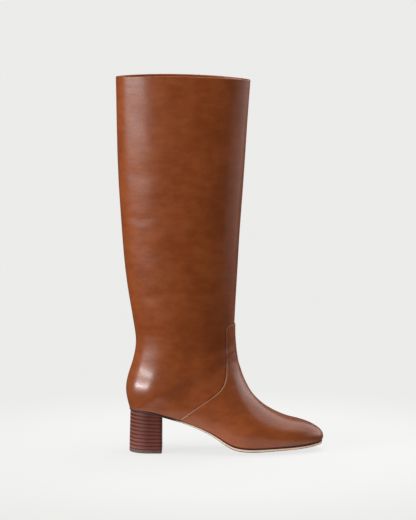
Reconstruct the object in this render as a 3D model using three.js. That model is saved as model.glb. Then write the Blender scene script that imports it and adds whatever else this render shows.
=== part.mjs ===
// A knee-high boot for the right foot, in millimetres. +X points to the toe, +Y to the inner side of the
// foot and +Z up. The origin is the middle of the heel's face on the ground.
import * as THREE from 'three';

// ---------- Driving sizes ----------
const GAP = 0.3; // left between two pieces that meet
const VAMP_GAP = 0.5; // between vamp and upper, whose flat facets cross at the waist
const WALL = 2.0; // shaft leather and lining together
const VAMP_THICKNESS = 0.9; // forefoot leather, lapped over the upper
const SOLE_THICKNESS = 3.2; // outsole at the forefoot
const SEAT_THICKNESS = 1.6; // outsole at the heel seat, thickening along the waist
const SOLE_MARGIN = 1.6; // outsole beyond the upper at the forefoot, under the vamp
const SEAT_MARGIN = 0.2; // outsole beyond the upper at the heel seat
const INSOLE_THICKNESS = 2.2;
const INSOLE_CLEARANCE = 0.4; // between the insole's edge and the upper's wall
const INSOLE_CAMBER = 0.6; // share of the outsole's camber that the insole's top keeps
const LIFT_COUNT = 10; // leather lifts in the heel, without the top piece
const TOP_PIECE_THICKNESS = 4.3;
const HEEL_BREAST_X = 20.4; // flat front face of the heel
const HEEL_BACK_X = -20.2; // back of the heel on the ground
const HEEL_FLARE = 1.5; // how much further forward the heel's back is at the seat
const HEEL_HALF_WIDTH = 24.5; // on the ground
const HEEL_SEAT_HALF_WIDTH = 27.0; // under the outsole
const HEEL_WIDEST_X = 5.0; // from here forward the heel's sides are straight
const BREAST_BEVEL_LENGTH = 2.6; // of the heel's two front corners, along the sides
const BREAST_BEVEL_WIDTH = 1.4; // and across the front
const LIFT_LEAN = THREE.MathUtils.degToRad(3.4); // how far the highest joint between lifts leans forward
const SIDE_FACETS = 14; // on each side of a cross-section
const SHAFT_ROWS = 5; // facets down the shaft
const COUNTER_ROWS = 12; // from there to the heel's feather edge
const WAIST_ROWS = 18; // from there to the ball
const FOREFOOT_ROWS = 14; // from there to the tip of the toe
const SOLE_FACETS = 8; // across the sole and the insole
const HEEL_BACK_FACETS = 8; // on each side of the heel's round back

// ---------- Last ----------
// Cross-sections from the collar down the shaft, round the heel and instep, and on to the tip of the toe.
// Each lies in a plane parallel to Y through a back point (backX, backZ) and a front point (frontX, frontZ).
//   outer, inner          greatest half-widths on the outer (-Y) and the inner (+Y) side
//   seatOuter, seatInner  half-widths where the upper meets the sole, 0 where the section closes at the back
//   rise                  how far along the section it is widest
//   tuck, crown           how square it is behind and ahead of the widest place; 2 is an ellipse
//   ridge                 how far its front point leans to the inner side
//   bow                   how much its middle stands above the straight plane
const COLUMNS = [
  'backX', 'backZ', 'frontX', 'frontZ', 'outer', 'inner', 'seatOuter', 'seatInner', 'rise', 'tuck', 'crown',
  'ridge', 'bow',
];
const SECTIONS = [
  [-35.1, 463.3, 129.3, 459.2, 40.0, 40.0, 0, 0, 0.50, 2.30, 2.30, 0, 3.2], // collar
  [-34.2, 400.0, 125.0, 398.5, 41.5, 41.5, 0, 0, 0.50, 2.25, 2.25, 0, 1.0],
  [-32.5, 340.0, 121.2, 340.0, 42.0, 42.0, 0, 0, 0.50, 2.20, 2.20, 0, 0], // calf
  [-28.8, 280.0, 116.9, 281.0, 41.5, 41.5, 0, 0, 0.50, 2.20, 2.20, 0, 0],
  [-24.3, 226.0, 113.8, 229.0, 40.3, 40.3, 0, 0, 0.50, 2.20, 2.20, 0, 0],
  [-17.9, 182.0, 111.4, 187.0, 38.8, 38.8, 0, 0, 0.50, 2.20, 2.15, 0, 0],
  [-12.9, 150.0, 110.1, 159.0, 36.5, 36.5, 0, 0, 0.49, 2.10, 2.10, 0, 0],
  [-12.6, 124.0, 110.2, 143.5, 34.0, 34.0, 0, 0, 0.48, 2.10, 2.05, 0, 0], // ankle
  [-20.2, 100.0, 110.8, 134.5, 33.6, 33.4, 0, 0, 0.46, 2.25, 2.00, 0, 0],
  [-24.2, 77.0, 111.3, 129.0, 35.6, 34.8, 0, 0, 0.44, 2.60, 1.98, 0, 0], // heel counter
  [-19.6, 54.0, 111.7, 125.0, 36.4, 35.2, 0, 0, 0.42, 2.75, 1.95, 0, 0], // feather edge at the back
  [-16.0, 53.9, 112.1, 121.8, 35.8, 34.5, 13.0, 12.8, 0.41, 2.60, 1.95, 0, 0],
  [-6.5, 53.4, 112.6, 118.8, 35.0, 33.8, 22.8, 22.3, 0.40, 2.40, 1.94, 0, 0],
  [9.0, 51.0, 113.1, 115.6, 34.2, 32.8, 28.0, 27.0, 0.38, 2.20, 1.93, 0.2, 0], // heel seat
  [30.0, 45.2, 114.1, 111.0, 34.0, 32.4, 28.0, 25.2, 0.37, 2.10, 1.92, 0.5, 0], // heel breast
  [56.0, 37.0, 116.4, 103.0, 34.6, 32.5, 25.4, 20.8, 0.36, 2.05, 1.92, 0.9, 0], // waist
  [84.0, 24.8, 120.8, 90.5, 36.6, 34.6, 29.0, 25.2, 0.34, 2.00, 1.93, 1.5, 0],
  [104.0, 12.8, 127.3, 77.1, 38.8, 38.2, 33.4, 31.4, 0.32, 2.00, 1.95, 2.2, 0],
  [122.0, 7.9, 134.5, 66.8, 40.0, 41.4, 35.8, 37.0, 0.30, 2.00, 2.00, 3.0, 0], // ball, outer side
  [142.0, 7.6, 145.4, 56.4, 39.6, 43.2, 35.6, 39.6, 0.30, 2.00, 2.05, 3.8, 0], // ball, inner side
  [158.0, 8.2, 159.5, 47.6, 36.8, 42.0, 33.2, 38.4, 0.30, 2.00, 2.10, 4.4, 0],
  [174.0, 8.6, 175.0, 41.1, 32.4, 38.6, 29.2, 35.4, 0.31, 2.00, 2.15, 4.9, 0],
  [188.0, 9.1, 189.5, 37.4, 27.0, 33.8, 24.2, 31.0, 0.32, 2.00, 2.20, 5.2, 0],
  [200.0, 9.9, 202.5, 33.0, 20.8, 28.6, 18.4, 26.2, 0.34, 2.00, 2.20, 5.3, 0],
  [209.0, 10.9, 212.0, 27.8, 14.2, 22.8, 12.4, 21.0, 0.36, 2.00, 2.20, 5.2, 0],
  [214.9, 11.8, 217.7, 22.6, 7.6, 16.9, 6.3, 15.6, 0.38, 2.00, 2.15, 5.1, 0],
  [217.2, 12.3, 219.4, 16.8, 1.1, 10.9, 0.6, 10.4, 0.40, 2.00, 2.10, 5.0, 0],
  [217.7, 12.5, 217.7, 12.5, -5.0, 5.0, -5.0, 5.0, 0.42, 2.00, 2.00, 5.0, 0], // tip of the toe
];
const SHAFT = 5; // section at the foot of the shaft
const FEATHER = 10; // section whose back point is the feather edge; from here on the sections are open
const BALL = 17; // section behind the ball
const TIP = SECTIONS.length - 1;
const SEAT_END = 13.5; // from here to the ball the outsole grows to its measures at the forefoot
const HEEL_END = 15; // a section ahead of the heel's breast
const BROKEN_COLUMNS = ['backX', 'backZ', 'seatOuter', 'seatInner']; // they turn sharply at the feather edge
const LOWER_SHARE = 0.4; // share of each side's facets that lies behind the widest place
const SLOPE_STEP = 0.02; // in sections, for the slopes of the last's outlines
const HALVINGS = 40; // when a place on the last is searched for

// Round the heel the sections turn from closed to open. Each point there is a mean of its neighbours along
// the last, so that no crease runs up from the end of the feather edge. All are in sections or shares.
const SOFT_CENTRE = 10.6; // section where the form is softened most
const SOFT_REACH = 3.4; // how many sections away the softening ends
const SOFT_RADIUS = 1.4; // how many sections on either side a point is a mean of
const SOFT_EDGE = 0.3; // share of a side over which the softening fades out to the feather edge
const SOFT_SAMPLES = 9;

// The vamp's raw edge seen from the side, from the feather edge up to the shin.
const VAMP_EDGE = [
  { x: 41.6, z: 41.6 },
  { x: 50.8, z: 48.8 },
  { x: 65.4, z: 59.8 },
  { x: 80.4, z: 69.8 },
  { x: 93.2, z: 80.3 },
  { x: 98.8, z: 92.0 },
  { x: 100.2, z: 107.0 },
  { x: 100.0, z: 130.0 },
  { x: 99.6, z: 149.0 },
  { x: 100.4, z: 155.6 },
  { x: 103.6, z: 158.6 },
  { x: 110.2, z: 158.8 },
];
const VAMP_CORNER = 9.4; // where the edge's side turns into its top, counted in its points
const TAB_COLUMN = 10; // column of facets of the foot at which the vamp narrows into its tab
const TAB_ROWS = 10; // facets down the tab
const LAP_ROWS = 7; // from there and from the rest of the edge to the ball

// How far the sole's middle hangs below its edges, by section from the feather edge on.
const CAMBER = [0, 0, 0, 0, 0.4, 1.6, 3.2, 4.6, 5.2, 5.2, 4.6, 3.8, 3.0, 2.2, 1.4, 0.7, 0.2, 0];

/** Cubic through evenly spaced values, with its slope free or level at either end. */
function spline(values, levelStart, levelEnd) {
  const last = values.length - 1;
  const beside = values.map(() => 0);
  const bend = values.map(() => 0);
  for (let i = 0; i <= last; i += 1) {
    const atEnd = i === 0 || i === last;
    const level = i === 0 ? levelStart : levelEnd;
    if (atEnd && !level) continue;
    const before = i > 0 ? values[i - 1] : values[1];
    const after = i < last ? values[i + 1] : values[last - 1];
    const diagonal = 4 - (i > 0 ? beside[i - 1] * (i === last ? 2 : 1) : 0);
    beside[i] = (i === 0 ? 2 : 1) / diagonal;
    const carried = i > 0 ? bend[i - 1] * (i === last ? 2 : 1) : 0;
    bend[i] = (6 * (before - 2 * values[i] + after) - carried) / diagonal;
  }
  for (let i = last - 1; i >= 0; i -= 1) bend[i] -= beside[i] * bend[i + 1];
  return (at) => {
    const i = Math.min(Math.max(Math.floor(at), 0), last - 1);
    const f = at - i;
    const g = 1 - f;
    const cubic = ((g ** 3 - g) * bend[i] + (f ** 3 - f) * bend[i + 1]) / 6;
    return g * values[i] + f * values[i + 1] + cubic;
  };
}

/** One function per column of the section table, taking a place counted in sections. */
function columnCurves() {
  const curves = {};
  COLUMNS.forEach((name, column) => {
    const values = SECTIONS.map((section) => section[column]);
    const steady = name === 'backX';
    if (BROKEN_COLUMNS.includes(name)) {
      const shaft = spline(values.slice(0, FEATHER + 1), false, false);
      const foot = spline(values.slice(FEATHER), steady, steady);
      curves[name] = (at) => (at <= FEATHER ? shaft(at) : foot(at - FEATHER));
    } else {
      curves[name] = spline(values, false, false);
    }
  });
  return curves;
}

const curves = columnCurves();
const camber = spline(CAMBER, false, false);

/** The bare last's section at a place counted in sections. */
function lastSection(at) {
  return Object.fromEntries(COLUMNS.map((name) => [name, curves[name](at)]));
}

/** Unit outward normal of an outline that runs forward, from two places on it. */
function outlineNormal(x0, w0, x1, w1) {
  const length = Math.hypot(x1 - x0, w1 - w0);
  return { x: (w0 - w1) / length, w: (x1 - x0) / length };
}

/** The last's section grown all round by a distance, or shrunk where it is negative. */
function grownSection(at, grow) {
  const section = lastSection(at);
  if (grow === 0) return section;
  const open = at > FEATHER;
  const before = lastSection(Math.max(at - SLOPE_STEP, open ? FEATHER : 0));
  const after = lastSection(Math.min(at + SLOPE_STEP, open ? TIP : FEATHER));
  const halfSeat = (s) => (s.seatOuter + s.seatInner) / 2;
  const halfWidth = (s) => (s.outer + s.inner) / 2;
  const widestX = (s) => s.backX + s.rise * (s.frontX - s.backX);
  const seat = outlineNormal(before.backX, halfSeat(before), after.backX, halfSeat(after));
  const side = outlineNormal(widestX(before), halfWidth(before), widestX(after), halfWidth(after));
  const front = outlineNormal(-before.frontZ, before.frontX, -after.frontZ, after.frontX);
  const sideGrow = grow * (open ? side.w : 1);
  section.backX += grow * (open ? seat.x : -1);
  section.seatOuter += open ? grow * seat.w : 0;
  section.seatInner += open ? grow * seat.w : 0;
  section.outer += sideGrow;
  section.inner += sideGrow;
  section.frontX += grow * front.w;
  section.frontZ += grow * -front.x;
  return section;
}

/**
 * A point on the sections' own surface, grown by a distance. Along runs from 0 at the outer feather edge
 * over the front line at 0.5 to 1 at the inner feather edge.
 */
function sectionPoint(at, along, grow) {
  if (at >= TIP) {
    const tip = lastSection(TIP);
    return new THREE.Vector3(tip.backX + grow, tip.ridge, tip.backZ);
  }
  const s = grownSection(at, grow);
  const isOuter = along <= 0.5;
  const climb = 2 * (isOuter ? along : 1 - along);
  const widest = isOuter ? -s.outer : s.inner;
  const seat = isOuter ? -s.seatOuter : s.seatInner;
  let reach;
  let y;
  if (climb < LOWER_SHARE) {
    const angle = (climb / LOWER_SHARE) * (Math.PI / 2);
    reach = s.rise * (1 - Math.cos(angle) ** (2 / s.tuck));
    y = seat + (widest - seat) * Math.sin(angle) ** (2 / s.tuck);
  } else {
    const angle = ((climb - LOWER_SHARE) / (1 - LOWER_SHARE)) * (Math.PI / 2);
    reach = s.rise + (1 - s.rise) * Math.sin(angle) ** (2 / s.crown);
    y = s.ridge + (widest - s.ridge) * Math.max(Math.cos(angle), 0) ** (2 / s.crown);
  }
  const x = s.backX + reach * (s.frontX - s.backX);
  const z = s.backZ + reach * (s.frontZ - s.backZ) + 4 * s.bow * reach * (1 - reach);
  return new THREE.Vector3(x, y, z);
}

/** A point on the last, grown by a distance: the sections' own surface, softened round the heel. */
function lastPoint(at, along, grow) {
  const edgeFade = THREE.MathUtils.smoothstep(2 * Math.min(along, 1 - along), 0, SOFT_EDGE);
  const nearness = THREE.MathUtils.smoothstep(SOFT_REACH - Math.abs(at - SOFT_CENTRE), 0, SOFT_REACH);
  const radius = SOFT_RADIUS * edgeFade * nearness;
  if (radius === 0) return sectionPoint(at, along, grow);
  const mean = new THREE.Vector3();
  let total = 0;
  for (let i = 1; i <= SOFT_SAMPLES; i += 1) {
    const offset = (2 * i) / (SOFT_SAMPLES + 1) - 1;
    const weight = 1 + Math.cos(Math.PI * offset);
    mean.addScaledVector(sectionPoint(at + offset * radius, along, grow), weight);
    total += weight;
  }
  return mean.divideScalar(total);
}

/** Where a point of the side view lies on the last: its section, and how far along that section. */
function placeOf(x, z) {
  let low = 0;
  let high = TIP;
  for (let i = 0; i < HALVINGS; i += 1) {
    const middle = (low + high) / 2;
    const s = lastSection(middle);
    const above = (s.frontX - s.backX) * (z - s.backZ) - (s.frontZ - s.backZ) * (x - s.backX);
    if (above > 0) high = middle;
    else low = middle;
  }
  const s = lastSection(low);
  const run = new THREE.Vector2(s.frontX - s.backX, s.frontZ - s.backZ);
  const reach = THREE.MathUtils.clamp(
    new THREE.Vector2(x - s.backX, z - s.backZ).dot(run) / run.lengthSq(), 0, 1);
  const lower = reach < s.rise;
  const angle = lower
    ? Math.acos((1 - reach / s.rise) ** (s.tuck / 2))
    : Math.asin(((reach - s.rise) / (1 - s.rise)) ** (s.crown / 2));
  const share = angle / (Math.PI / 2);
  const climb = lower ? share * LOWER_SHARE : LOWER_SHARE + share * (1 - LOWER_SHARE);
  return { at: low, along: climb / 2 };
}

/** A closed solid between two matching sets of grids of points, walled in along their open borders. */
function solidBetween(faces, backs) {
  const number = new Map();
  const vertices = [];
  const twins = [];
  const triangles = [];
  const addTriangle = (a, b, c) => {
    if (a !== b && b !== c && c !== a) triangles.push([a, b, c]);
  };
  faces.forEach((face, patch) => {
    const ids = face.map((row, i) => row.map((point, j) => {
      const key = point.toArray().map((value) => value.toFixed(4)).join();
      if (!number.has(key)) {
        number.set(key, vertices.length);
        vertices.push(point);
        twins.push(backs[patch][i][j]);
      }
      return number.get(key);
    }));
    for (let i = 0; i + 1 < ids.length; i += 1) {
      for (let j = 0; j + 1 < ids[i].length; j += 1) {
        addTriangle(ids[i][j], ids[i + 1][j], ids[i + 1][j + 1]);
        addTriangle(ids[i][j], ids[i + 1][j + 1], ids[i][j + 1]);
      }
    }
  });
  const count = vertices.length;
  const edges = new Set();
  triangles.forEach(([a, b, c]) => [[a, b], [b, c], [c, a]].forEach((edge) => edges.add(edge.join())));
  const all = [...triangles, ...triangles.map(([a, b, c]) => [c + count, b + count, a + count])];
  edges.forEach((edge) => {
    const [a, b] = edge.split(',').map(Number);
    if (!edges.has(`${b},${a}`)) all.push([b, a, a + count], [b, a + count, b + count]);
  });
  return outwardGeometry([...vertices, ...twins], all);
}

/** The geometry of a closed surface, with its faces turned outward. */
function outwardGeometry(vertices, triangles) {
  let volume = 0;
  const normal = new THREE.Vector3();
  triangles.forEach(([a, b, c]) => {
    volume += normal.crossVectors(vertices[a], vertices[b]).dot(vertices[c]);
  });
  const facing = volume > 0 ? triangles : triangles.map(([a, b, c]) => [c, b, a]);
  const geometry = new THREE.BufferGeometry();
  const numbers = vertices.flatMap((point) => point.toArray());
  geometry.setAttribute('position', new THREE.Float32BufferAttribute(numbers, 3));
  geometry.setIndex(facing.flat());
  geometry.computeVertexNormals();
  return geometry;
}

/** Evenly spaced numbers from one to another, both included. */
function steps(from, to, count) {
  return Array.from({ length: count + 1 }, (_, i) => from + ((to - from) * i) / count);
}

const ALONGS = steps(0, 1, 2 * SIDE_FACETS);
const FOREFOOT = steps(BALL, TIP, FOREFOOT_ROWS);
const FOOT = [...steps(FEATHER, BALL, WAIST_ROWS), ...FOREFOOT.slice(1)];

/** A shell between two grown forms of the last, over grids of places on it that share their borders. */
function shell(patches, outerGrow, innerGrow) {
  const form = (grow) => patches.map((places) => (
    places.map((row) => row.map(({ at, along }) => lastPoint(at, along, grow)))
  ));
  return solidBetween(form(outerGrow), form(innerGrow));
}

/** The upper: the whole last from collar to toe, open at the collar and underneath. */
function upperGeometry() {
  const shaft = steps(0, SHAFT, SHAFT_ROWS);
  const counter = steps(SHAFT, FEATHER, COUNTER_ROWS).slice(1);
  const rows = [...shaft, ...counter, ...FOOT.slice(1)];
  return shell([rows.map((at) => ALONGS.map((along) => ({ at, along })))], 0, -WALL);
}

const vampEdge = new THREE.SplineCurve(VAMP_EDGE.map(({ x, z }) => new THREE.Vector2(x, z)));
const EDGE_TOP = VAMP_EDGE.length - 1;

/** The place on the last of a point of the vamp's raw edge, counted in the edge's points. */
function edgePlace(count) {
  const point = vampEdge.getPoint(count / EDGE_TOP);
  const place = placeOf(point.x, point.y);
  if (count === 0) place.along = 0;
  if (count === EDGE_TOP) place.along = 0.5;
  return place;
}

/** Where a stretch of the vamp's raw edge crosses a column of the last, counted in the edge's points. */
function edgeCount(along, from, to) {
  let low = from;
  let high = to;
  for (let i = 0; i < HALVINGS; i += 1) {
    const middle = (low + high) / 2;
    if (edgePlace(middle).along < along) low = middle;
    else high = middle;
  }
  return high;
}

/** The same place on the other side of the boot. */
function mirrored({ at, along }) {
  return { at, along: 1 - along };
}

/** A row of places over the tab, from one place on its outer edge to the same one on its inner edge. */
function tabRow(place) {
  return steps(place.along, 1 - place.along, ALONGS.length - 1 - 2 * TAB_COLUMN)
    .map((along) => ({ at: place.at, along }));
}

/** The vamp: an overlay from its raw edge to the toe, between two grown forms of the upper. */
function vampGeometry() {
  const root = edgeCount(ALONGS[TAB_COLUMN], 0, VAMP_CORNER);
  const outerEdge = ALONGS.slice(0, TAB_COLUMN)
    .map((along) => ({ at: edgePlace(edgeCount(along, 0, VAMP_CORNER)).at, along }));
  const tabFoot = tabRow({ at: edgePlace(root).at, along: ALONGS[TAB_COLUMN] });
  const lap = [...outerEdge, ...tabFoot, ...outerEdge.toReversed().map(mirrored)];

  const outerTop = steps(edgePlace(VAMP_CORNER).along, 0.5, (tabFoot.length - 1) / 2)
    .map((along) => edgePlace(edgeCount(along, VAMP_CORNER, EDGE_TOP)));
  const top = [...outerTop, ...outerTop.slice(0, -1).toReversed().map(mirrored)];
  const down = steps(VAMP_CORNER, root, TAB_ROWS).slice(1, -1).map((count) => tabRow(edgePlace(count)));

  const toBall = steps(0, 1, LAP_ROWS).slice(1).map((share) => lap.map(({ at, along }) => ({
    at: THREE.MathUtils.lerp(at, BALL, share),
    along,
  })));
  const toTip = FOREFOOT.slice(1).map((at) => ALONGS.map((along) => ({ at, along })));
  return shell([[top, ...down, tabFoot], [lap, ...toBall, ...toTip]], VAMP_GAP + VAMP_THICKNESS, VAMP_GAP);
}

/** The outline and height of the sole at a section, with a margin beyond the upper's feather edge. */
function soleStation(at, margin) {
  const s = grownSection(at, margin);
  const tip = lastSection(TIP);
  const pointed = at >= TIP;
  return {
    x: pointed ? tip.backX + margin : s.backX,
    outer: pointed ? tip.ridge : -s.seatOuter,
    inner: pointed ? tip.ridge : s.seatInner,
    z: s.backZ,
    camber: camber(at - FEATHER),
  };
}

/** Points across one station of a plate, from its outer to its inner edge. */
function acrossStation(station, facets, height) {
  return steps(-1, 1, facets).map((v) => {
    const y = THREE.MathUtils.lerp(station.outer, station.inner, (v + 1) / 2);
    return new THREE.Vector3(station.x, y, height(v));
  });
}

/** Height of the sole's bottom or top at a place across it: its edge less the camber in the middle. */
function hung(edgeHeight, camberHere, v) {
  return edgeHeight - camberHere * (1 - v * v);
}

/** An outsole measure at a section, which changes between the heel seat and the ball. */
function soleMeasure(at, atSeat, atForefoot) {
  return THREE.MathUtils.lerp(atSeat, atForefoot, THREE.MathUtils.smoothstep(at, SEAT_END, BALL));
}

/** Height of the outsole's bottom above the ground; the ball of the foot rests flat on it. */
function soleBottom(station, at, v) {
  const thickness = soleMeasure(at, SEAT_THICKNESS, SOLE_THICKNESS);
  return Math.max(hung(station.z - GAP - thickness, station.camber, v), 0);
}

/** The outsole, from the heel seat to the toe. */
function outsoleGeometry() {
  const top = [];
  const bottom = [];
  FOOT.forEach((at) => {
    const station = soleStation(at, soleMeasure(at, SEAT_MARGIN, SOLE_MARGIN));
    top.push(acrossStation(station, SOLE_FACETS, (v) => hung(station.z - GAP, station.camber, v)));
    bottom.push(acrossStation(station, SOLE_FACETS, (v) => soleBottom(station, at, v)));
  });
  return solidBetween([top], [bottom]);
}

/** The insole, inside the upper's wall and above the outsole. */
function insoleGeometry() {
  const top = [];
  const bottom = [];
  FOOT.forEach((at) => {
    const station = soleStation(at, -WALL - INSOLE_CLEARANCE);
    const topCamber = station.camber * INSOLE_CAMBER;
    top.push(acrossStation(station, SOLE_FACETS, (v) => hung(station.z + INSOLE_THICKNESS, topCamber, v)));
    bottom.push(acrossStation(station, SOLE_FACETS, (v) => hung(station.z, station.camber, v)));
  });
  return solidBetween([top], [bottom]);
}

/** Height of the heel's own top, under the outsole, at a distance along the heel. */
function heelTop(x) {
  let low = FEATHER;
  let high = HEEL_END;
  for (let i = 0; i < HALVINGS; i += 1) {
    const middle = (low + high) / 2;
    if (lastSection(middle).backX > x) high = middle;
    else low = middle;
  }
  return lastSection(low).backZ - 2 * GAP - soleMeasure(low, SEAT_THICKNESS, SOLE_THICKNESS);
}

/** Height of the joint above a number of lifts; the last one is the heel's top. */
function jointHeight(number, x) {
  if (number === LIFT_COUNT) return heelTop(x);
  const pitch = (heelTop(HEEL_BACK_X) - TOP_PIECE_THICKNESS) / LIFT_COUNT;
  const lean = LIFT_LEAN * (number / LIFT_COUNT);
  return TOP_PIECE_THICKNESS + number * pitch - Math.tan(lean) * (x - HEEL_BACK_X);
}

/** One plate of the heel, between two heights that depend on how far forward a point is. */
function heelPlate(bottomHeight, topHeight) {
  const middle = (bottomHeight(0) + topHeight(0)) / 2;
  const share = middle / heelTop(0);
  const backX = HEEL_BACK_X + HEEL_FLARE * share;
  const halfWidth = THREE.MathUtils.lerp(HEEL_HALF_WIDTH, HEEL_SEAT_HALF_WIDTH, share);
  const round = steps(0, Math.PI / 2, HEEL_BACK_FACETS).map((angle) => ({
    x: HEEL_WIDEST_X - (HEEL_WIDEST_X - backX) * Math.cos(angle),
    w: halfWidth * Math.sin(angle),
  }));
  const front = [
    { x: HEEL_BREAST_X - BREAST_BEVEL_LENGTH, w: halfWidth },
    { x: HEEL_BREAST_X, w: halfWidth - BREAST_BEVEL_WIDTH },
  ];
  const stations = [...round, ...front].map(({ x, w }) => ({ x, outer: -w, inner: w }));
  const layer = (height) => stations.map((station) => acrossStation(station, 1, () => height(station.x)));
  return solidBetween([layer(topHeight)], [layer(bottomHeight)]);
}

/** A named mesh in its own material. */
function piece(name, geometry, color, roughness) {
  const mesh = new THREE.Mesh(geometry, new THREE.MeshStandardMaterial({ color, roughness, metalness: 0 }));
  mesh.name = name;
  return mesh;
}

const COGNAC = 0x8a4a2c;
const NATURAL_SOLE = 0xe2bd9e;
const TAN_LINING = 0xb98a68;
const LIFT_BROWNS = [0x5c3024, 0x6b3a2b];
const TOP_PIECE_BROWN = 0x5a473f;

const boot = new THREE.Group();
boot.add(piece('upper', upperGeometry(), COGNAC, 0.35));
boot.add(piece('vamp', vampGeometry(), COGNAC, 0.35));
boot.add(piece('outsole', outsoleGeometry(), NATURAL_SOLE, 0.6));
boot.add(piece('insole', insoleGeometry(), TAN_LINING, 0.7));
boot.add(piece('top_piece', heelPlate(() => 0, () => TOP_PIECE_THICKNESS), TOP_PIECE_BROWN, 0.8));
for (let number = 1; number <= LIFT_COUNT; number += 1) {
  const name = `heel_lift_${String(number).padStart(2, '0')}`;
  const geometry = heelPlate(
    (x) => jointHeight(number - 1, x) + GAP,
    (x) => jointHeight(number, x),
  );
  boot.add(piece(name, geometry, LIFT_BROWNS[number % 2], 0.5));
}

export default boot;
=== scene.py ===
"""A knee-high boot for the right foot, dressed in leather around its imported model.

Sizes are in millimetres and become metres where a mesh is made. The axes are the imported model's: +X points to
the toe, +Y to the inner side of the foot and +Z up, and the origin is the middle of the heel on the ground.
"""
from __future__ import annotations

import logging
import math
from dataclasses import dataclass, field
from enum import Enum
from typing import Any, Callable, Mapping, Optional, Sequence, Union

import bpy
import numpy as np
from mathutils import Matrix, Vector

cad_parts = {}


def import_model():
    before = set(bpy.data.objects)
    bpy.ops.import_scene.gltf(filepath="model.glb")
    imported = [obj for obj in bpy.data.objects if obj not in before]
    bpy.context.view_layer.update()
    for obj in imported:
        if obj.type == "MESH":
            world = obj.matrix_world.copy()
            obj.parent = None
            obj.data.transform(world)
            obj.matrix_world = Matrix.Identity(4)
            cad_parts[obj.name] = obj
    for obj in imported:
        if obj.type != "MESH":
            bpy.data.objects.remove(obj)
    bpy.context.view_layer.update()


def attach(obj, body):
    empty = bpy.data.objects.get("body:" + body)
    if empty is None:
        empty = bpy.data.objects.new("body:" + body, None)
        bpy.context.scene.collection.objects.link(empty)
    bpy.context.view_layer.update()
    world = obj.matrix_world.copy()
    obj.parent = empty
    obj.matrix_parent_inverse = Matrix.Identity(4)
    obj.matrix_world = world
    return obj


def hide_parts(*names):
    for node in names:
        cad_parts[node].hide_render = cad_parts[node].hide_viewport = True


log = logging.getLogger("boot")

Array = np.ndarray
Triple = tuple[float, float, float]
Colour = Triple
Range = tuple[float, float]
MM = 0.001  # metres in a millimetre
BODY = "root"  # everything on the boot rides on it

# ---------- Sizes that several pieces share ----------
WALL = 2.0  # shaft leather and lining together
SOLE_GAP = 0.3  # between upper and outsole, and between outsole and heel
SOLE_THICKNESS = 3.2  # outsole at the forefoot
SEAT_THICKNESS = 1.6  # outsole at the heel seat
SOLE_MARGIN = 1.6  # outsole beyond the upper at the forefoot
SEAT_MARGIN = 0.2  # outsole beyond the upper at the heel seat

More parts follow.
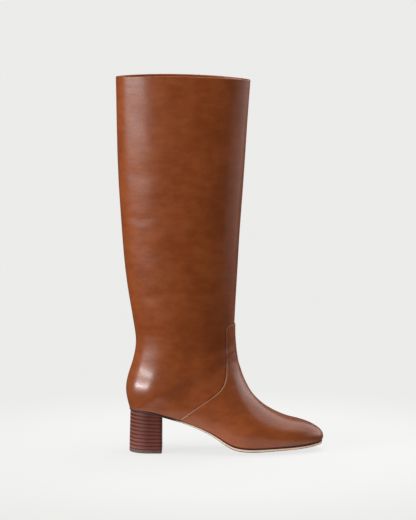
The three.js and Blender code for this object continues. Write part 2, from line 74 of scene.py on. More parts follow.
# ---------- Last ----------
# Cross-sections from the collar down the shaft, round the heel and instep, and on to the tip of the toe. Each
# lies in a plane parallel to Y through a back point (back_x, back_z) and a front point (front_x, front_z).
#   outer, inner            greatest half-widths on the outer (-Y) and the inner (+Y) side
#   seat_outer, seat_inner  half-widths where the upper meets the sole, 0 where the section closes at the back
#   rise                    how far along the section it is widest
#   tuck, crown             how square it is behind and ahead of the widest place; 2 is an ellipse
#   ridge                   how far its front point leans to the inner side
#   bow                     how much its middle stands above the straight plane
COLUMNS = (
    "back_x", "back_z", "front_x", "front_z", "outer", "inner", "seat_outer", "seat_inner", "rise", "tuck",
    "crown", "ridge", "bow",
)
SECTIONS = (
    (-35.1, 463.3, 129.3, 459.2, 40.0, 40.0, 0, 0, 0.50, 2.30, 2.30, 0, 3.2),  # collar
    (-34.2, 400.0, 125.0, 398.5, 41.5, 41.5, 0, 0, 0.50, 2.25, 2.25, 0, 1.0),
    (-32.5, 340.0, 121.2, 340.0, 42.0, 42.0, 0, 0, 0.50, 2.20, 2.20, 0, 0),  # calf
    (-28.8, 280.0, 116.9, 281.0, 41.5, 41.5, 0, 0, 0.50, 2.20, 2.20, 0, 0),
    (-24.3, 226.0, 113.8, 229.0, 40.3, 40.3, 0, 0, 0.50, 2.20, 2.20, 0, 0),
    (-17.9, 182.0, 111.4, 187.0, 38.8, 38.8, 0, 0, 0.50, 2.20, 2.15, 0, 0),
    (-12.9, 150.0, 110.1, 159.0, 36.5, 36.5, 0, 0, 0.49, 2.10, 2.10, 0, 0),
    (-12.6, 124.0, 110.2, 143.5, 34.0, 34.0, 0, 0, 0.48, 2.10, 2.05, 0, 0),  # ankle
    (-20.2, 100.0, 110.8, 134.5, 33.6, 33.4, 0, 0, 0.46, 2.25, 2.00, 0, 0),
    (-24.2, 77.0, 111.3, 129.0, 35.6, 34.8, 0, 0, 0.44, 2.60, 1.98, 0, 0),  # heel counter
    (-19.6, 54.0, 111.7, 125.0, 36.4, 35.2, 0, 0, 0.42, 2.75, 1.95, 0, 0),  # feather edge at the back
    (-16.0, 53.9, 112.1, 121.8, 35.8, 34.5, 13.0, 12.8, 0.41, 2.60, 1.95, 0, 0),
    (-6.5, 53.4, 112.6, 118.8, 35.0, 33.8, 22.8, 22.3, 0.40, 2.40, 1.94, 0, 0),
    (9.0, 51.0, 113.1, 115.6, 34.2, 32.8, 28.0, 27.0, 0.38, 2.20, 1.93, 0.2, 0),  # heel seat
    (30.0, 45.2, 114.1, 111.0, 34.0, 32.4, 28.0, 25.2, 0.37, 2.10, 1.92, 0.5, 0),  # heel breast
    (56.0, 37.0, 116.4, 103.0, 34.6, 32.5, 25.4, 20.8, 0.36, 2.05, 1.92, 0.9, 0),  # waist
    (84.0, 24.8, 120.8, 90.5, 36.6, 34.6, 29.0, 25.2, 0.34, 2.00, 1.93, 1.5, 0),
    (104.0, 12.8, 127.3, 77.1, 38.8, 38.2, 33.4, 31.4, 0.32, 2.00, 1.95, 2.2, 0),
    (122.0, 7.9, 134.5, 66.8, 40.0, 41.4, 35.8, 37.0, 0.30, 2.00, 2.00, 3.0, 0),  # ball, outer side
    (142.0, 7.6, 145.4, 56.4, 39.6, 43.2, 35.6, 39.6, 0.30, 2.00, 2.05, 3.8, 0),  # ball, inner side
    (158.0, 8.2, 159.5, 47.6, 36.8, 42.0, 33.2, 38.4, 0.30, 2.00, 2.10, 4.4, 0),
    (174.0, 8.6, 175.0, 41.1, 32.4, 38.6, 29.2, 35.4, 0.31, 2.00, 2.15, 4.9, 0),
    (188.0, 9.1, 189.5, 37.4, 27.0, 33.8, 24.2, 31.0, 0.32, 2.00, 2.20, 5.2, 0),
    (200.0, 9.9, 202.5, 33.0, 20.8, 28.6, 18.4, 26.2, 0.34, 2.00, 2.20, 5.3, 0),
    (209.0, 10.9, 212.0, 27.8, 14.2, 22.8, 12.4, 21.0, 0.36, 2.00, 2.20, 5.2, 0),
    (214.9, 11.8, 217.7, 22.6, 7.6, 16.9, 6.3, 15.6, 0.38, 2.00, 2.15, 5.1, 0),
    (217.2, 12.3, 219.4, 16.8, 1.1, 10.9, 0.6, 10.4, 0.40, 2.00, 2.10, 5.0, 0),
    (217.7, 12.5, 217.7, 12.5, -5.0, 5.0, -5.0, 5.0, 0.42, 2.00, 2.00, 5.0, 0),  # tip of the toe
)
SHAFT = 5  # section at the foot of the shaft
FEATHER = 10  # section whose back point is the feather edge; from here on the sections are open
BALL = 17  # section behind the ball
TIP = len(SECTIONS) - 1
SEAT_END = 13.5  # from here to the ball the outsole grows from its measures at the heel seat to the forefoot's
HEEL_END = 15  # a section ahead of the heel's breast
BROKEN_COLUMNS = ("back_x", "back_z", "seat_outer", "seat_inner")  # these turn sharply at the feather edge
LOWER_SHARE = 0.4  # share of each side that lies behind the widest place
SLOPE_STEP = 0.02  # in sections, for the slopes of the last's outlines
HALVINGS = 40  # when a place on the last is searched for
ROW_FALL = 62.0  # how far one section at the collar lies below the next

# Round the heel the sections turn from closed to open. Each point there is a mean of its neighbours along the
# last, so that no crease runs up from the end of the feather edge. All four are counted in sections or shares.
SOFT_CENTRE = 10.6  # section where the form is softened most
SOFT_REACH = 3.4  # how many sections away the softening ends
SOFT_RADIUS = 1.4  # how many sections on either side a point is a mean of
SOFT_EDGE = 0.3  # share of a side over which the softening fades out to the feather edge
SOFT_SAMPLES = 9

# The vamp's raw edge seen from the side, as (x, z) from the feather edge up to the shin.
VAMP_EDGE = (
    (41.6, 41.6), (50.8, 48.8), (65.4, 59.8), (80.4, 69.8), (93.2, 80.3), (98.8, 92.0),
    (100.2, 107.0), (100.0, 130.0), (99.6, 149.0), (100.4, 155.6), (103.6, 158.6), (110.2, 158.8),
)

# How far the sole's middle hangs below its edges, by section from the feather edge on.
CAMBER = (0, 0, 0, 0, 0.4, 1.6, 3.2, 4.6, 5.2, 5.2, 4.6, 3.8, 3.0, 2.2, 1.4, 0.7, 0.2, 0)


class Side(Enum):
    """Which side of the boot a crease is on."""

    OUTER = -1
    INNER = 1
    BOTH = 0


# ---------- Form of the last ----------
def smoothstep(value: Array, low: float, high: float) -> Array:
    """A smooth rise from 0 at one value to 1 at another."""
    share = np.clip((value - low) / (high - low), 0.0, 1.0)
    return share * share * (3.0 - 2.0 * share)


def lerp(start: Any, end: Any, share: Any) -> Any:
    """The value at a share of the way from one to another."""
    return start + (end - start) * share


def lengths_along(path: Array) -> Array:
    """How far along a path each of its points is."""
    return np.concatenate([[0.0], np.cumsum(np.linalg.norm(np.diff(path, axis=0), axis=1))])


class Curve:
    """A cubic through evenly spaced values."""

    def __init__(self, values: Sequence[float], level_ends: bool = False) -> None:
        """Fits the cubic.

        Args:
            values: What the curve goes through at 0, 1, 2 and so on.
            level_ends: Whether its slope is level at both ends, or free.
        """
        self.values = np.asarray(values, float)
        count = len(self.values)
        system = np.zeros((count, count))
        target = np.zeros(count)
        for i in range(1, count - 1):
            system[i, i - 1 : i + 2] = (1.0, 4.0, 1.0)
            target[i] = 6.0 * (self.values[i + 1] - 2.0 * self.values[i] + self.values[i - 1])
        system[0, 0] = system[-1, -1] = 1.0
        if level_ends:
            system[0, :2] = (2.0, 1.0)
            target[0] = 6.0 * (self.values[1] - self.values[0])
            system[-1, -2:] = (1.0, 2.0)
            target[-1] = 6.0 * (self.values[-2] - self.values[-1])
        self.bends = np.linalg.solve(system, target)

    def __call__(self, at: Array) -> Array:
        """The curve's value at a place counted in values."""
        i = np.clip(np.floor(at).astype(int), 0, len(self.values) - 2)
        after = at - i
        before = 1.0 - after
        bend = (before**3 - before) * self.bends[i] + (after**3 - after) * self.bends[i + 1]
        return before * self.values[i] + after * self.values[i + 1] + bend / 6.0


class Last:
    """The form that the upper is pulled over, between its cross-sections."""

    def __init__(self) -> None:
        """Fits a curve to each column of the section table."""
        self.curves: dict[str, Callable[[Array], Array]] = {}
        for column, name in enumerate(COLUMNS):
            values = [row[column] for row in SECTIONS]
            if name in BROKEN_COLUMNS:
                self.curves[name] = self._broken(values, name == "back_x")
            else:
                self.curves[name] = Curve(values)
        self.camber_curve = Curve(CAMBER)

    @staticmethod
    def _broken(values: Sequence[float], level_ends: bool) -> Callable[[Array], Array]:
        """A column that turns sharply at the feather edge.

        Args:
            values: The column's values.
            level_ends: Whether the part along the foot has level ends.

        Returns:
            A function of the place counted in sections.
        """
        shaft = Curve(values[: FEATHER + 1])
        foot = Curve(values[FEATHER:], level_ends)
        return lambda at: np.where(
            at <= FEATHER, shaft(np.minimum(at, FEATHER)), foot(np.maximum(at - FEATHER, 0.0))
        )

    def section(self, at: Array) -> dict[str, Array]:
        """The bare last's measures at places counted in sections."""
        return {name: curve(np.asarray(at, float)) for name, curve in self.curves.items()}

    def camber(self, at: Array) -> Array:
        """How far the sole's middle hangs below its edges."""
        return self.camber_curve(np.asarray(at, float) - FEATHER)

    @staticmethod
    def _outline_normal(x0: Array, w0: Array, x1: Array, w1: Array) -> tuple[Array, Array]:
        """Unit outward normal of an outline that runs forward, from two places on it."""
        length = np.hypot(x1 - x0, w1 - w0)
        return (w0 - w1) / length, (x1 - x0) / length

    def grown(self, at: Array, grow: Union[float, Array]) -> dict[str, Array]:
        """The last's measures when it has grown all round by a distance.

        Args:
            at: Places counted in sections.
            grow: The distance, negative where the last shrinks.

        Returns:
            The measures by name.
        """
        at = np.asarray(at, float)
        measures = self.section(at)
        is_open = at > FEATHER
        beyond = np.nextafter(float(FEATHER), TIP)
        before = self.section(np.maximum(at - SLOPE_STEP, np.where(is_open, beyond, 0.0)))
        after = self.section(np.minimum(at + SLOPE_STEP, np.where(is_open, TIP, FEATHER)))

        def half_seat(s: dict[str, Array]) -> Array:
            """Half the width of the seat."""
            return (s["seat_outer"] + s["seat_inner"]) / 2.0

        def half_width(s: dict[str, Array]) -> Array:
            """Half the greatest width."""
            return (s["outer"] + s["inner"]) / 2.0

        def widest_x(s: dict[str, Array]) -> Array:
            """Where along X the section is widest."""
            return s["back_x"] + s["rise"] * (s["front_x"] - s["back_x"])

        seat = self._outline_normal(before["back_x"], half_seat(before), after["back_x"], half_seat(after))
        side = self._outline_normal(widest_x(before), half_width(before), widest_x(after), half_width(after))
        front = self._outline_normal(-before["front_z"], before["front_x"], -after["front_z"], after["front_x"])
        side_grow = grow * np.where(is_open, side[1], 1.0)
        seat_grow = grow * np.where(is_open, seat[1], 0.0)
        measures["back_x"] = measures["back_x"] + grow * np.where(is_open, seat[0], -1.0)
        measures["seat_outer"] = measures["seat_outer"] + seat_grow
        measures["seat_inner"] = measures["seat_inner"] + seat_grow
        measures["outer"] = measures["outer"] + side_grow
        measures["inner"] = measures["inner"] + side_grow
        measures["front_x"] = measures["front_x"] + grow * front[1]
        measures["front_z"] = measures["front_z"] - grow * front[0]
        return measures

    def _section_point(self, at: Array, along: Array, grow: Union[float, Array]) -> Array:
        """Points on the sections' own surface, grown by a distance.

        Args:
            at: Places counted in sections.
            along: From 0 at the outer feather edge over the front line at 0.5 to 1 at the inner feather edge.
            grow: The distance.

        Returns:
            One point for each place.
        """
        s = self.grown(at, grow)
        is_outer = along <= 0.5
        climb = 2.0 * np.where(is_outer, along, 1.0 - along)
        widest = np.where(is_outer, -s["outer"], s["inner"])
        seat = np.where(is_outer, -s["seat_outer"], s["seat_inner"])
        low = np.clip(climb / LOWER_SHARE, 0.0, 1.0) * np.pi / 2.0
        high = np.clip((climb - LOWER_SHARE) / (1.0 - LOWER_SHARE), 0.0, 1.0) * np.pi / 2.0
        low_reach = s["rise"] * (1.0 - np.cos(low) ** (2.0 / s["tuck"]))
        low_y = seat + (widest - seat) * np.sin(low) ** (2.0 / s["tuck"])
        high_reach = s["rise"] + (1.0 - s["rise"]) * np.sin(high) ** (2.0 / s["crown"])
        high_y = s["ridge"] + (widest - s["ridge"]) * np.maximum(np.cos(high), 0.0) ** (2.0 / s["crown"])
        reach = np.where(climb < LOWER_SHARE, low_reach, high_reach)
        y = np.where(climb < LOWER_SHARE, low_y, high_y)
        x = s["back_x"] + reach * (s["front_x"] - s["back_x"])
        z = s["back_z"] + reach * (s["front_z"] - s["back_z"]) + 4.0 * s["bow"] * reach * (1.0 - reach)
        tip = self.section(np.float64(TIP))
        at_tip = at >= TIP
        return np.stack([
            np.where(at_tip, tip["back_x"] + grow, x),
            np.where(at_tip, tip["ridge"], y),
            np.where(at_tip, tip["back_z"], z),
        ], axis=-1)

    def point(self, at: Array, along: Array, grow: Union[float, Array] = 0.0) -> Array:
        """Points on the last, grown by a distance: the sections' own surface, softened round the heel.

        Args:
            at: Places counted in sections.
            along: From 0 at the outer feather edge over the front line at 0.5 to 1 at the inner feather edge.
            grow: The distance.

        Returns:
            An array of points with the shape of the places and three coordinates each.
        """
        at, along, grow = np.broadcast_arrays(np.asarray(at, float), along, np.asarray(grow, float))
        points = self._section_point(at, along, grow)
        fade = smoothstep(2.0 * np.minimum(along, 1.0 - along), 0.0, SOFT_EDGE)
        radius = SOFT_RADIUS * fade * smoothstep(SOFT_REACH - np.abs(at - SOFT_CENTRE), 0.0, SOFT_REACH)
        soft = radius > 0.0
        if soft.any():
            offsets = 2.0 * np.arange(1, SOFT_SAMPLES + 1) / (SOFT_SAMPLES + 1) - 1.0
            weights = 1.0 + np.cos(np.pi * offsets)
            mean = sum(
                weight * self._section_point(at[soft] + offset * radius[soft], along[soft], grow[soft])
                for offset, weight in zip(offsets, weights)
            )
            points[soft] = mean / weights.sum()
        return points

    def normal(self, at: Array, along: Array) -> Array:
        """Unit outward directions of the last's surface at places on it."""
        out = self.point(at, along, 1.0) - self.point(at, along, 0.0)
        return out / np.linalg.norm(out, axis=-1, keepdims=True)

    def place_of(self, x: Array, z: Array) -> tuple[Array, Array]:
        """Where points of the side view lie on the last's outer side.

        Args:
            x: Their places along the boot.
            z: Their heights.

        Returns:
            Their sections, and how far along those sections they are.
        """
        low = np.zeros_like(x)
        high = np.full_like(x, TIP)
        for _ in range(HALVINGS):
            middle = (low + high) / 2.0
            s = self.section(middle)
            run_x, run_z = s["front_x"] - s["back_x"], s["front_z"] - s["back_z"]
            above = run_x * (z - s["back_z"]) - run_z * (x - s["back_x"]) > 0.0
            low, high = np.where(above, low, middle), np.where(above, middle, high)
        s = self.section(low)
        run_x, run_z = s["front_x"] - s["back_x"], s["front_z"] - s["back_z"]
        reach = ((x - s["back_x"]) * run_x + (z - s["back_z"]) * run_z) / (run_x**2 + run_z**2)
        reach = np.clip(reach, 0.0, 1.0)
        ahead = np.clip((reach - s["rise"]) / (1.0 - s["rise"]), 0.0, 1.0)
        behind = np.clip(1.0 - reach / s["rise"], 0.0, 1.0)
        low_share = np.arccos(behind ** (s["tuck"] / 2.0)) / (np.pi / 2.0)
        high_share = np.arcsin(ahead ** (s["crown"] / 2.0)) / (np.pi / 2.0)
        climb = np.where(reach < s["rise"], low_share * LOWER_SHARE, lerp(LOWER_SHARE, 1.0, high_share))
        return low, climb / 2.0


# ---------- Meshes ----------
WELD = 0.002  # points nearer than this become one


@dataclass
class Sheet:
    """A grid of points that becomes faces, with marks on the points for the finishes to read."""

    points: Array
    marks: dict[str, Array] = field(default_factory=dict)
    flip: bool = False

    def faces(self, ids: Array) -> list[tuple[int, ...]]:
        """The grid's faces, without the corners that have run together.

        Args:
            ids: The number of the vertex at each place of the grid.

        Returns:
            Triangles and quads that face outward.
        """
        corners = np.stack([ids[:-1, :-1], ids[1:, :-1], ids[1:, 1:], ids[:-1, 1:]], axis=-1).reshape(-1, 4)
        faces = []
        for quad in corners.tolist():
            face = [corner for i, corner in enumerate(quad) if corner != quad[i - 1]]
            if len(face) > 2 and len(set(face)) == len(face):
                faces.append(tuple(reversed(face)) if self.flip else tuple(face))
        return faces


def add_object(name: str, data: Any) -> bpy.types.Object:
    """Puts a mesh, light or camera in the scene."""
    made = bpy.data.objects.new(name, data)
    bpy.context.scene.collection.objects.link(made)
    return made


def build_piece(name: str, sheets: Sequence[Sheet]) -> bpy.types.Object:
    """Joins sheets into one smooth object.

    Args:
        name: The piece's name.
        sheets: Its sheets, which are welded where their points meet.

    Returns:
        The object, in the scene and riding on the boot.
    """
    points = np.concatenate([sheet.points.reshape(-1, 3) for sheet in sheets])
    spots = np.round(points / WELD).astype(int)
    _, first, number = np.unique(spots, axis=0, return_index=True, return_inverse=True)
    number = number.reshape(-1)
    faces: list[tuple[int, ...]] = []
    start = 0
    for sheet in sheets:
        rows, columns = sheet.points.shape[:2]
        faces += sheet.faces(number[start : start + rows * columns].reshape(rows, columns))
        start += rows * columns
    mesh = bpy.data.meshes.new(name)
    mesh.from_pydata((points[first] * MM).tolist(), [], faces)
    for mark in sorted({mark for sheet in sheets for mark in sheet.marks}):
        values = np.concatenate([
            np.broadcast_to(sheet.marks.get(mark, 0.0), sheet.points.shape[:2]).reshape(-1) for sheet in sheets
        ])
        mesh.attributes.new(mark, "FLOAT", "POINT").data.foreach_set("value", values[first].astype(np.float32))
    mesh.polygons.foreach_set("use_smooth", np.ones(len(mesh.polygons), bool))
    mesh.update()
    piece = add_object(name, mesh)
    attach(piece, BODY)
    return piece


def finish_piece(piece: bpy.types.Object, finish: bpy.types.Material, slot: str, *nodes: str) -> None:
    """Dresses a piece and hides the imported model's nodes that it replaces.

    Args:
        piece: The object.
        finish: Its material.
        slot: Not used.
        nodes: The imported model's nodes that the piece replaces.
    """
    piece.data.materials.append(finish)
    if nodes:
        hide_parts(*nodes)
    log.info("%s: %d faces", piece.name, len(piece.data.polygons))


# ---------- Creases ----------
CREASE_SAMPLES = 32
CREASE_FADE = 0.6  # how fast a crease runs out at its ends; lower is faster
CREASE_REACH = 3.0  # widths from its middle beyond which a crease does nothing
SHOULDER_PLACE = 1.6  # the low ridge beside a trough, in widths from its middle
SHOULDER_SHARE = 0.3  # how high it is, as a share of the trough's depth
SHOULDER_SHARPNESS = 2.0


@dataclass(frozen=True)
class Crease:
    """A soft trough in the leather along a line, seen from the side as (x, z). A negative depth is a ridge."""

    side: Side
    line: tuple[tuple[float, float], ...]
    depth: float
    width: float

    def push(self, points: Array) -> Array:
        """How far the leather stands in or out at points on it."""
        knots = np.asarray(self.line, float)
        shares = np.linspace(0.0, len(knots) - 1.0, CREASE_SAMPLES)
        path = np.stack([
            Curve(knots[:, i])(shares) if len(knots) > 2 else np.interp(shares, np.arange(len(knots)), knots[:, i])
            for i in (0, 1)
        ], axis=-1)
        fade = np.sin(np.pi * np.linspace(0.0, 1.0, CREASE_SAMPLES)) ** CREASE_FADE
        depth = np.zeros(points.shape[:-1])
        flat = points.reshape(-1, 3)
        reach = CREASE_REACH * self.width
        seen = flat[:, [0, 2]]
        near = np.all((seen > path.min(axis=0) - reach) & (seen < path.max(axis=0) + reach), axis=1)
        if self.side is not Side.BOTH:
            near &= flat[:, 1] * self.side.value > 0.0
        if near.any():
            away = np.linalg.norm(seen[near][:, None] - path[None], axis=-1) / self.width
            trough = np.max(fade * np.exp(-(away**2)), axis=1)
            shoulder = np.max(fade * np.exp(-((away - SHOULDER_PLACE) ** 2) * SHOULDER_SHARPNESS), axis=1)
            depth.reshape(-1)[near] = -self.depth * (trough - SHOULDER_SHARE * shoulder * (1.0 - trough))
        return depth


# The soft hollows of the shaft, the swell and wrinkles of the counter, the puckers where the vamp's tab is sewn
# down, and the breaks at ankle and ball.
CREASES = (
    Crease(Side.BOTH, ((-20, 430), (10, 405), (60, 400)), 0.35, 16),
    Crease(Side.BOTH, ((-28, 352), (5, 345), (40, 362)), 0.4, 13),
    Crease(Side.BOTH, ((20, 318), (62, 300), (100, 312)), 0.45, 15),
    Crease(Side.BOTH, ((-22, 296), (-5, 290), (20, 301)), 0.3, 6),
    Crease(Side.BOTH, ((-16, 262), (20, 250), (58, 262)), 0.5, 12),
    Crease(Side.BOTH, ((40, 222), (75, 232), (104, 226)), 0.4, 11),
    Crease(Side.BOTH, ((-10, 205), (15, 196), (48, 204)), 0.45, 9),
    Crease(Side.BOTH, ((40, 168), (66, 176), (96, 178)), 0.35, 8),
    Crease(Side.BOTH, ((-8, 158), (10, 150), (36, 156)), 0.45, 8),
    Crease(Side.BOTH, ((-16, 120), (8, 122), (36, 119)), -1.3, 14),
    Crease(Side.OUTER, ((-6, 115), (3, 113.5), (12, 115)), 0.04, 1.6),
    Crease(Side.OUTER, ((0, 119.5), (8, 118.5), (17, 120.5)), 0.04, 1.6),
    Crease(Side.INNER, ((-5, 110), (6, 108.5), (14, 111)), 0.12, 1.6),
    Crease(Side.BOTH, ((-12, 74), (8, 75), (34, 71)), -1.1, 12),
    Crease(Side.BOTH, ((62, 98), (72, 92), (80, 82)), 0.25, 5),
    Crease(Side.BOTH, ((101.5, 154), (104, 150)), 0.12, 1.2),
    Crease(Side.BOTH, ((105.5, 157), (106.5, 152)), 0.12, 1.2),
    Crease(Side.BOTH, ((104, 118), (110, 112), (118, 108)), 0.25, 4),
    Crease(Side.BOTH, ((112, 60), (128, 52), (140, 42)), 0.2, 7),
    Crease(Side.BOTH, ((128, 62), (140, 50), (148, 36)), 0.18, 6),
)


def relief(points: Array) -> Array:
    """How far all the creases together push points on the leather in or out."""
    return sum(crease.push(points) for crease in CREASES)


FEATHER_SAMPLES = 300


def distance_to(points: Array, line: Array) -> Array:
    """Distance of each point from the nearest point of a line.

    Args:
        points: Rows and columns of points.
        line: Points close together along the line.

    Returns:
        One distance for each point.
    """
    rows = [np.min(np.linalg.norm(row[:, None] - line[None], axis=-1), axis=1) for row in points]
    return np.stack(rows)


def above_sole(last: Last, points: Array) -> Array:
    """Distance of each point from the nearer feather edge, where the leather turns in over the sole."""
    at = np.linspace(FEATHER, TIP, FEATHER_SAMPLES)
    sides = [last.point(at, np.full(at.shape, along)) for along in (0.0, 1.0)]
    return distance_to(points, np.concatenate(sides))


# ---------- Upper ----------
TUCK_STEPS = ((0.12, 0.08), (0.4, 0.16), (1.2, 0.2), (3.0, 0.2))  # how far in, and how far down
FAR = 99.0  # a mark's value well away from what it measures
HEM_SHARE = 1.6  # how far below the rim the close rows of the hem reach, in hem depths
NEAR_TIP = TIP - 0.01  # the last section where the last's surface has a direction of its own
Row = tuple[Array, Array, float]  # sections, how far along them, and the distance from the raw edge


def tucked(last: Last, at: Array, grow: float, inner: bool) -> Array:
    """The upper's lower edge where it turns in between upper and sole.

    Args:
        last: The boot's last.
        at: Places along the feather edge, counted in sections.
        grow: How far the leather's face stands off the last.
        inner: Whether this is the inner side's edge.

    Returns:
        Columns of points from the edge inward, one row for each place.
    """
    along = np.full(at.shape, 1.0 if inner else 0.0)
    columns = []
    for inward, drop in TUCK_STEPS:
        edge = last.point(at, along, grow - inward)
        edge[..., 2] -= drop
        columns.append(edge)
    return np.stack(columns, axis=1)


@dataclass
class Upper:
    """Shaft, counter and foot in one leather, with its fold at the collar and its lining."""

    last: Last
    rim_steps: int = 10
    fold_depth: float = 7.0
    fold_gap: float = 0.35  # by which the fold stands proud of the lining
    fold_rows: int = 8
    hem_depth: float = 8.5
    hem_swell: float = 0.05
    hem_step: float = 6.0
    hem_pitch: float = 0.6  # between rows at the hem
    seam_width: float = 0.9
    seam_depth: float = 0.35
    columns: int = 176
    shaft_rows: int = 120
    heel_rows: int = 60
    foot_rows: int = 90
    lining_shaft_rows: int = 90
    lining_foot_rows: int = 50
    lining_top: float = 5.5  # below the rim, under the fold

    def build(self) -> tuple[bpy.types.Object, bpy.types.Object]:
        """Makes the outer leather and the lining.

        Returns:
            The two objects.
        """
        along = np.linspace(0.0, 1.0, self.columns + 1)
        places = self._rows()
        outside = [self._row(at, along, 0.0) for at in places]
        rim = self._rim(along)
        points = np.stack(rim + outside)
        marks = {
            "from_edge": FAR,
            "above_sole": above_sole(self.last, points),
            "by_vamp": distance_to(points, self.last.point(*Vamp(self.last).edge())),
        }
        foot = np.array([at for at in places if at >= FEATHER])
        first = len(rim) + len(places) - len(foot)
        sheets = [Sheet(points, marks)]
        for is_inner, column in ((False, 0), (True, -1)):
            under = tucked(self.last, foot, 0.0, is_inner)
            edge = np.concatenate([points[first:, column][:, None], under], axis=1)
            sheets.append(Sheet(edge, {"from_edge": FAR, "by_vamp": FAR}, flip=not is_inner))
        outer = build_piece("upper_leather", sheets)
        return outer, self._lining()

    def _rows(self) -> list[float]:
        """Places of the rows from the rim to the tip, closer together at the hem and round the heel."""
        start = 0.5 * WALL / ROW_FALL
        hem = np.arange(start, HEM_SHARE * self.hem_depth / ROW_FALL, self.hem_pitch / ROW_FALL)
        shaft = np.linspace(hem[-1], SHAFT, self.shaft_rows)[1:]
        heel = np.linspace(SHAFT, FEATHER, self.heel_rows)[1:]
        foot = np.linspace(FEATHER, TIP, self.foot_rows)[1:]
        return [float(at) for part in (hem, shaft, heel, foot) for at in part]

    def _row(self, at: float, along: Array, grow: float) -> Array:
        """One row of the outer leather, with its hem, back seam and creases."""
        places = np.full(along.shape, at)
        points = self.last.point(places, along, grow)
        normals = self.last.normal(places, along) if at < TIP else np.zeros_like(points)
        below = np.float64(at * ROW_FALL)
        hem = self.hem_swell * (1.0 - smoothstep(below, self.hem_depth, self.hem_depth + self.hem_step))
        push = relief(points) * smoothstep(below, 0.0, 2.0 * self.hem_depth) + hem
        if at < FEATHER:
            aside = np.abs(points[:, 1]) / self.seam_width
            behind = points[:, 0] < points[:, 0].mean()
            push = push - self.seam_depth * np.exp(-(aside**2)) * behind
        return points + normals * np.reshape(push, (-1, 1))

    def _rim(self, along: Array) -> list[Array]:
        """Rows of the fold inside the collar and of the round rim, from the fold's lower edge up and over."""
        radius = 0.5 * WALL
        steps = [(-WALL + self.fold_gap, self.fold_depth), (-WALL - 0.05, self.fold_depth - 0.1)]
        steps += [(-WALL, down) for down in np.linspace(self.fold_depth - 0.4, radius, self.fold_rows)]
        for angle in np.linspace(np.pi, 0.0, self.rim_steps)[1:-1]:
            steps.append((-radius + radius * math.cos(angle), radius * (1.0 - math.sin(angle))))
        rows = []
        for grow, down in steps:
            swell = self.hem_swell * float(smoothstep(np.float64(grow), -radius, 0.0))
            rows.append(self.last.point(np.full(along.shape, down / ROW_FALL), along, grow + swell))
        return rows

    def _lining(self) -> bpy.types.Object:
        """The lining from under the fold down to the toe."""
        along = np.linspace(0.0, 1.0, self.columns // 2 + 1)
        shaft = np.linspace(self.lining_top / ROW_FALL, FEATHER, self.lining_shaft_rows)
        foot = np.linspace(FEATHER, TIP, self.lining_foot_rows)[1:]
        grid_at, grid_along = np.meshgrid(np.concatenate([shaft, foot]), along, indexing="ij")
        points = self.last.point(grid_at, grid_along, -WALL + self.fold_gap)
        points = points + self.last.normal(np.minimum(grid_at, NEAR_TIP), grid_along) * relief(points)[..., None]
        return build_piece("lining", [Sheet(points, flip=True)])


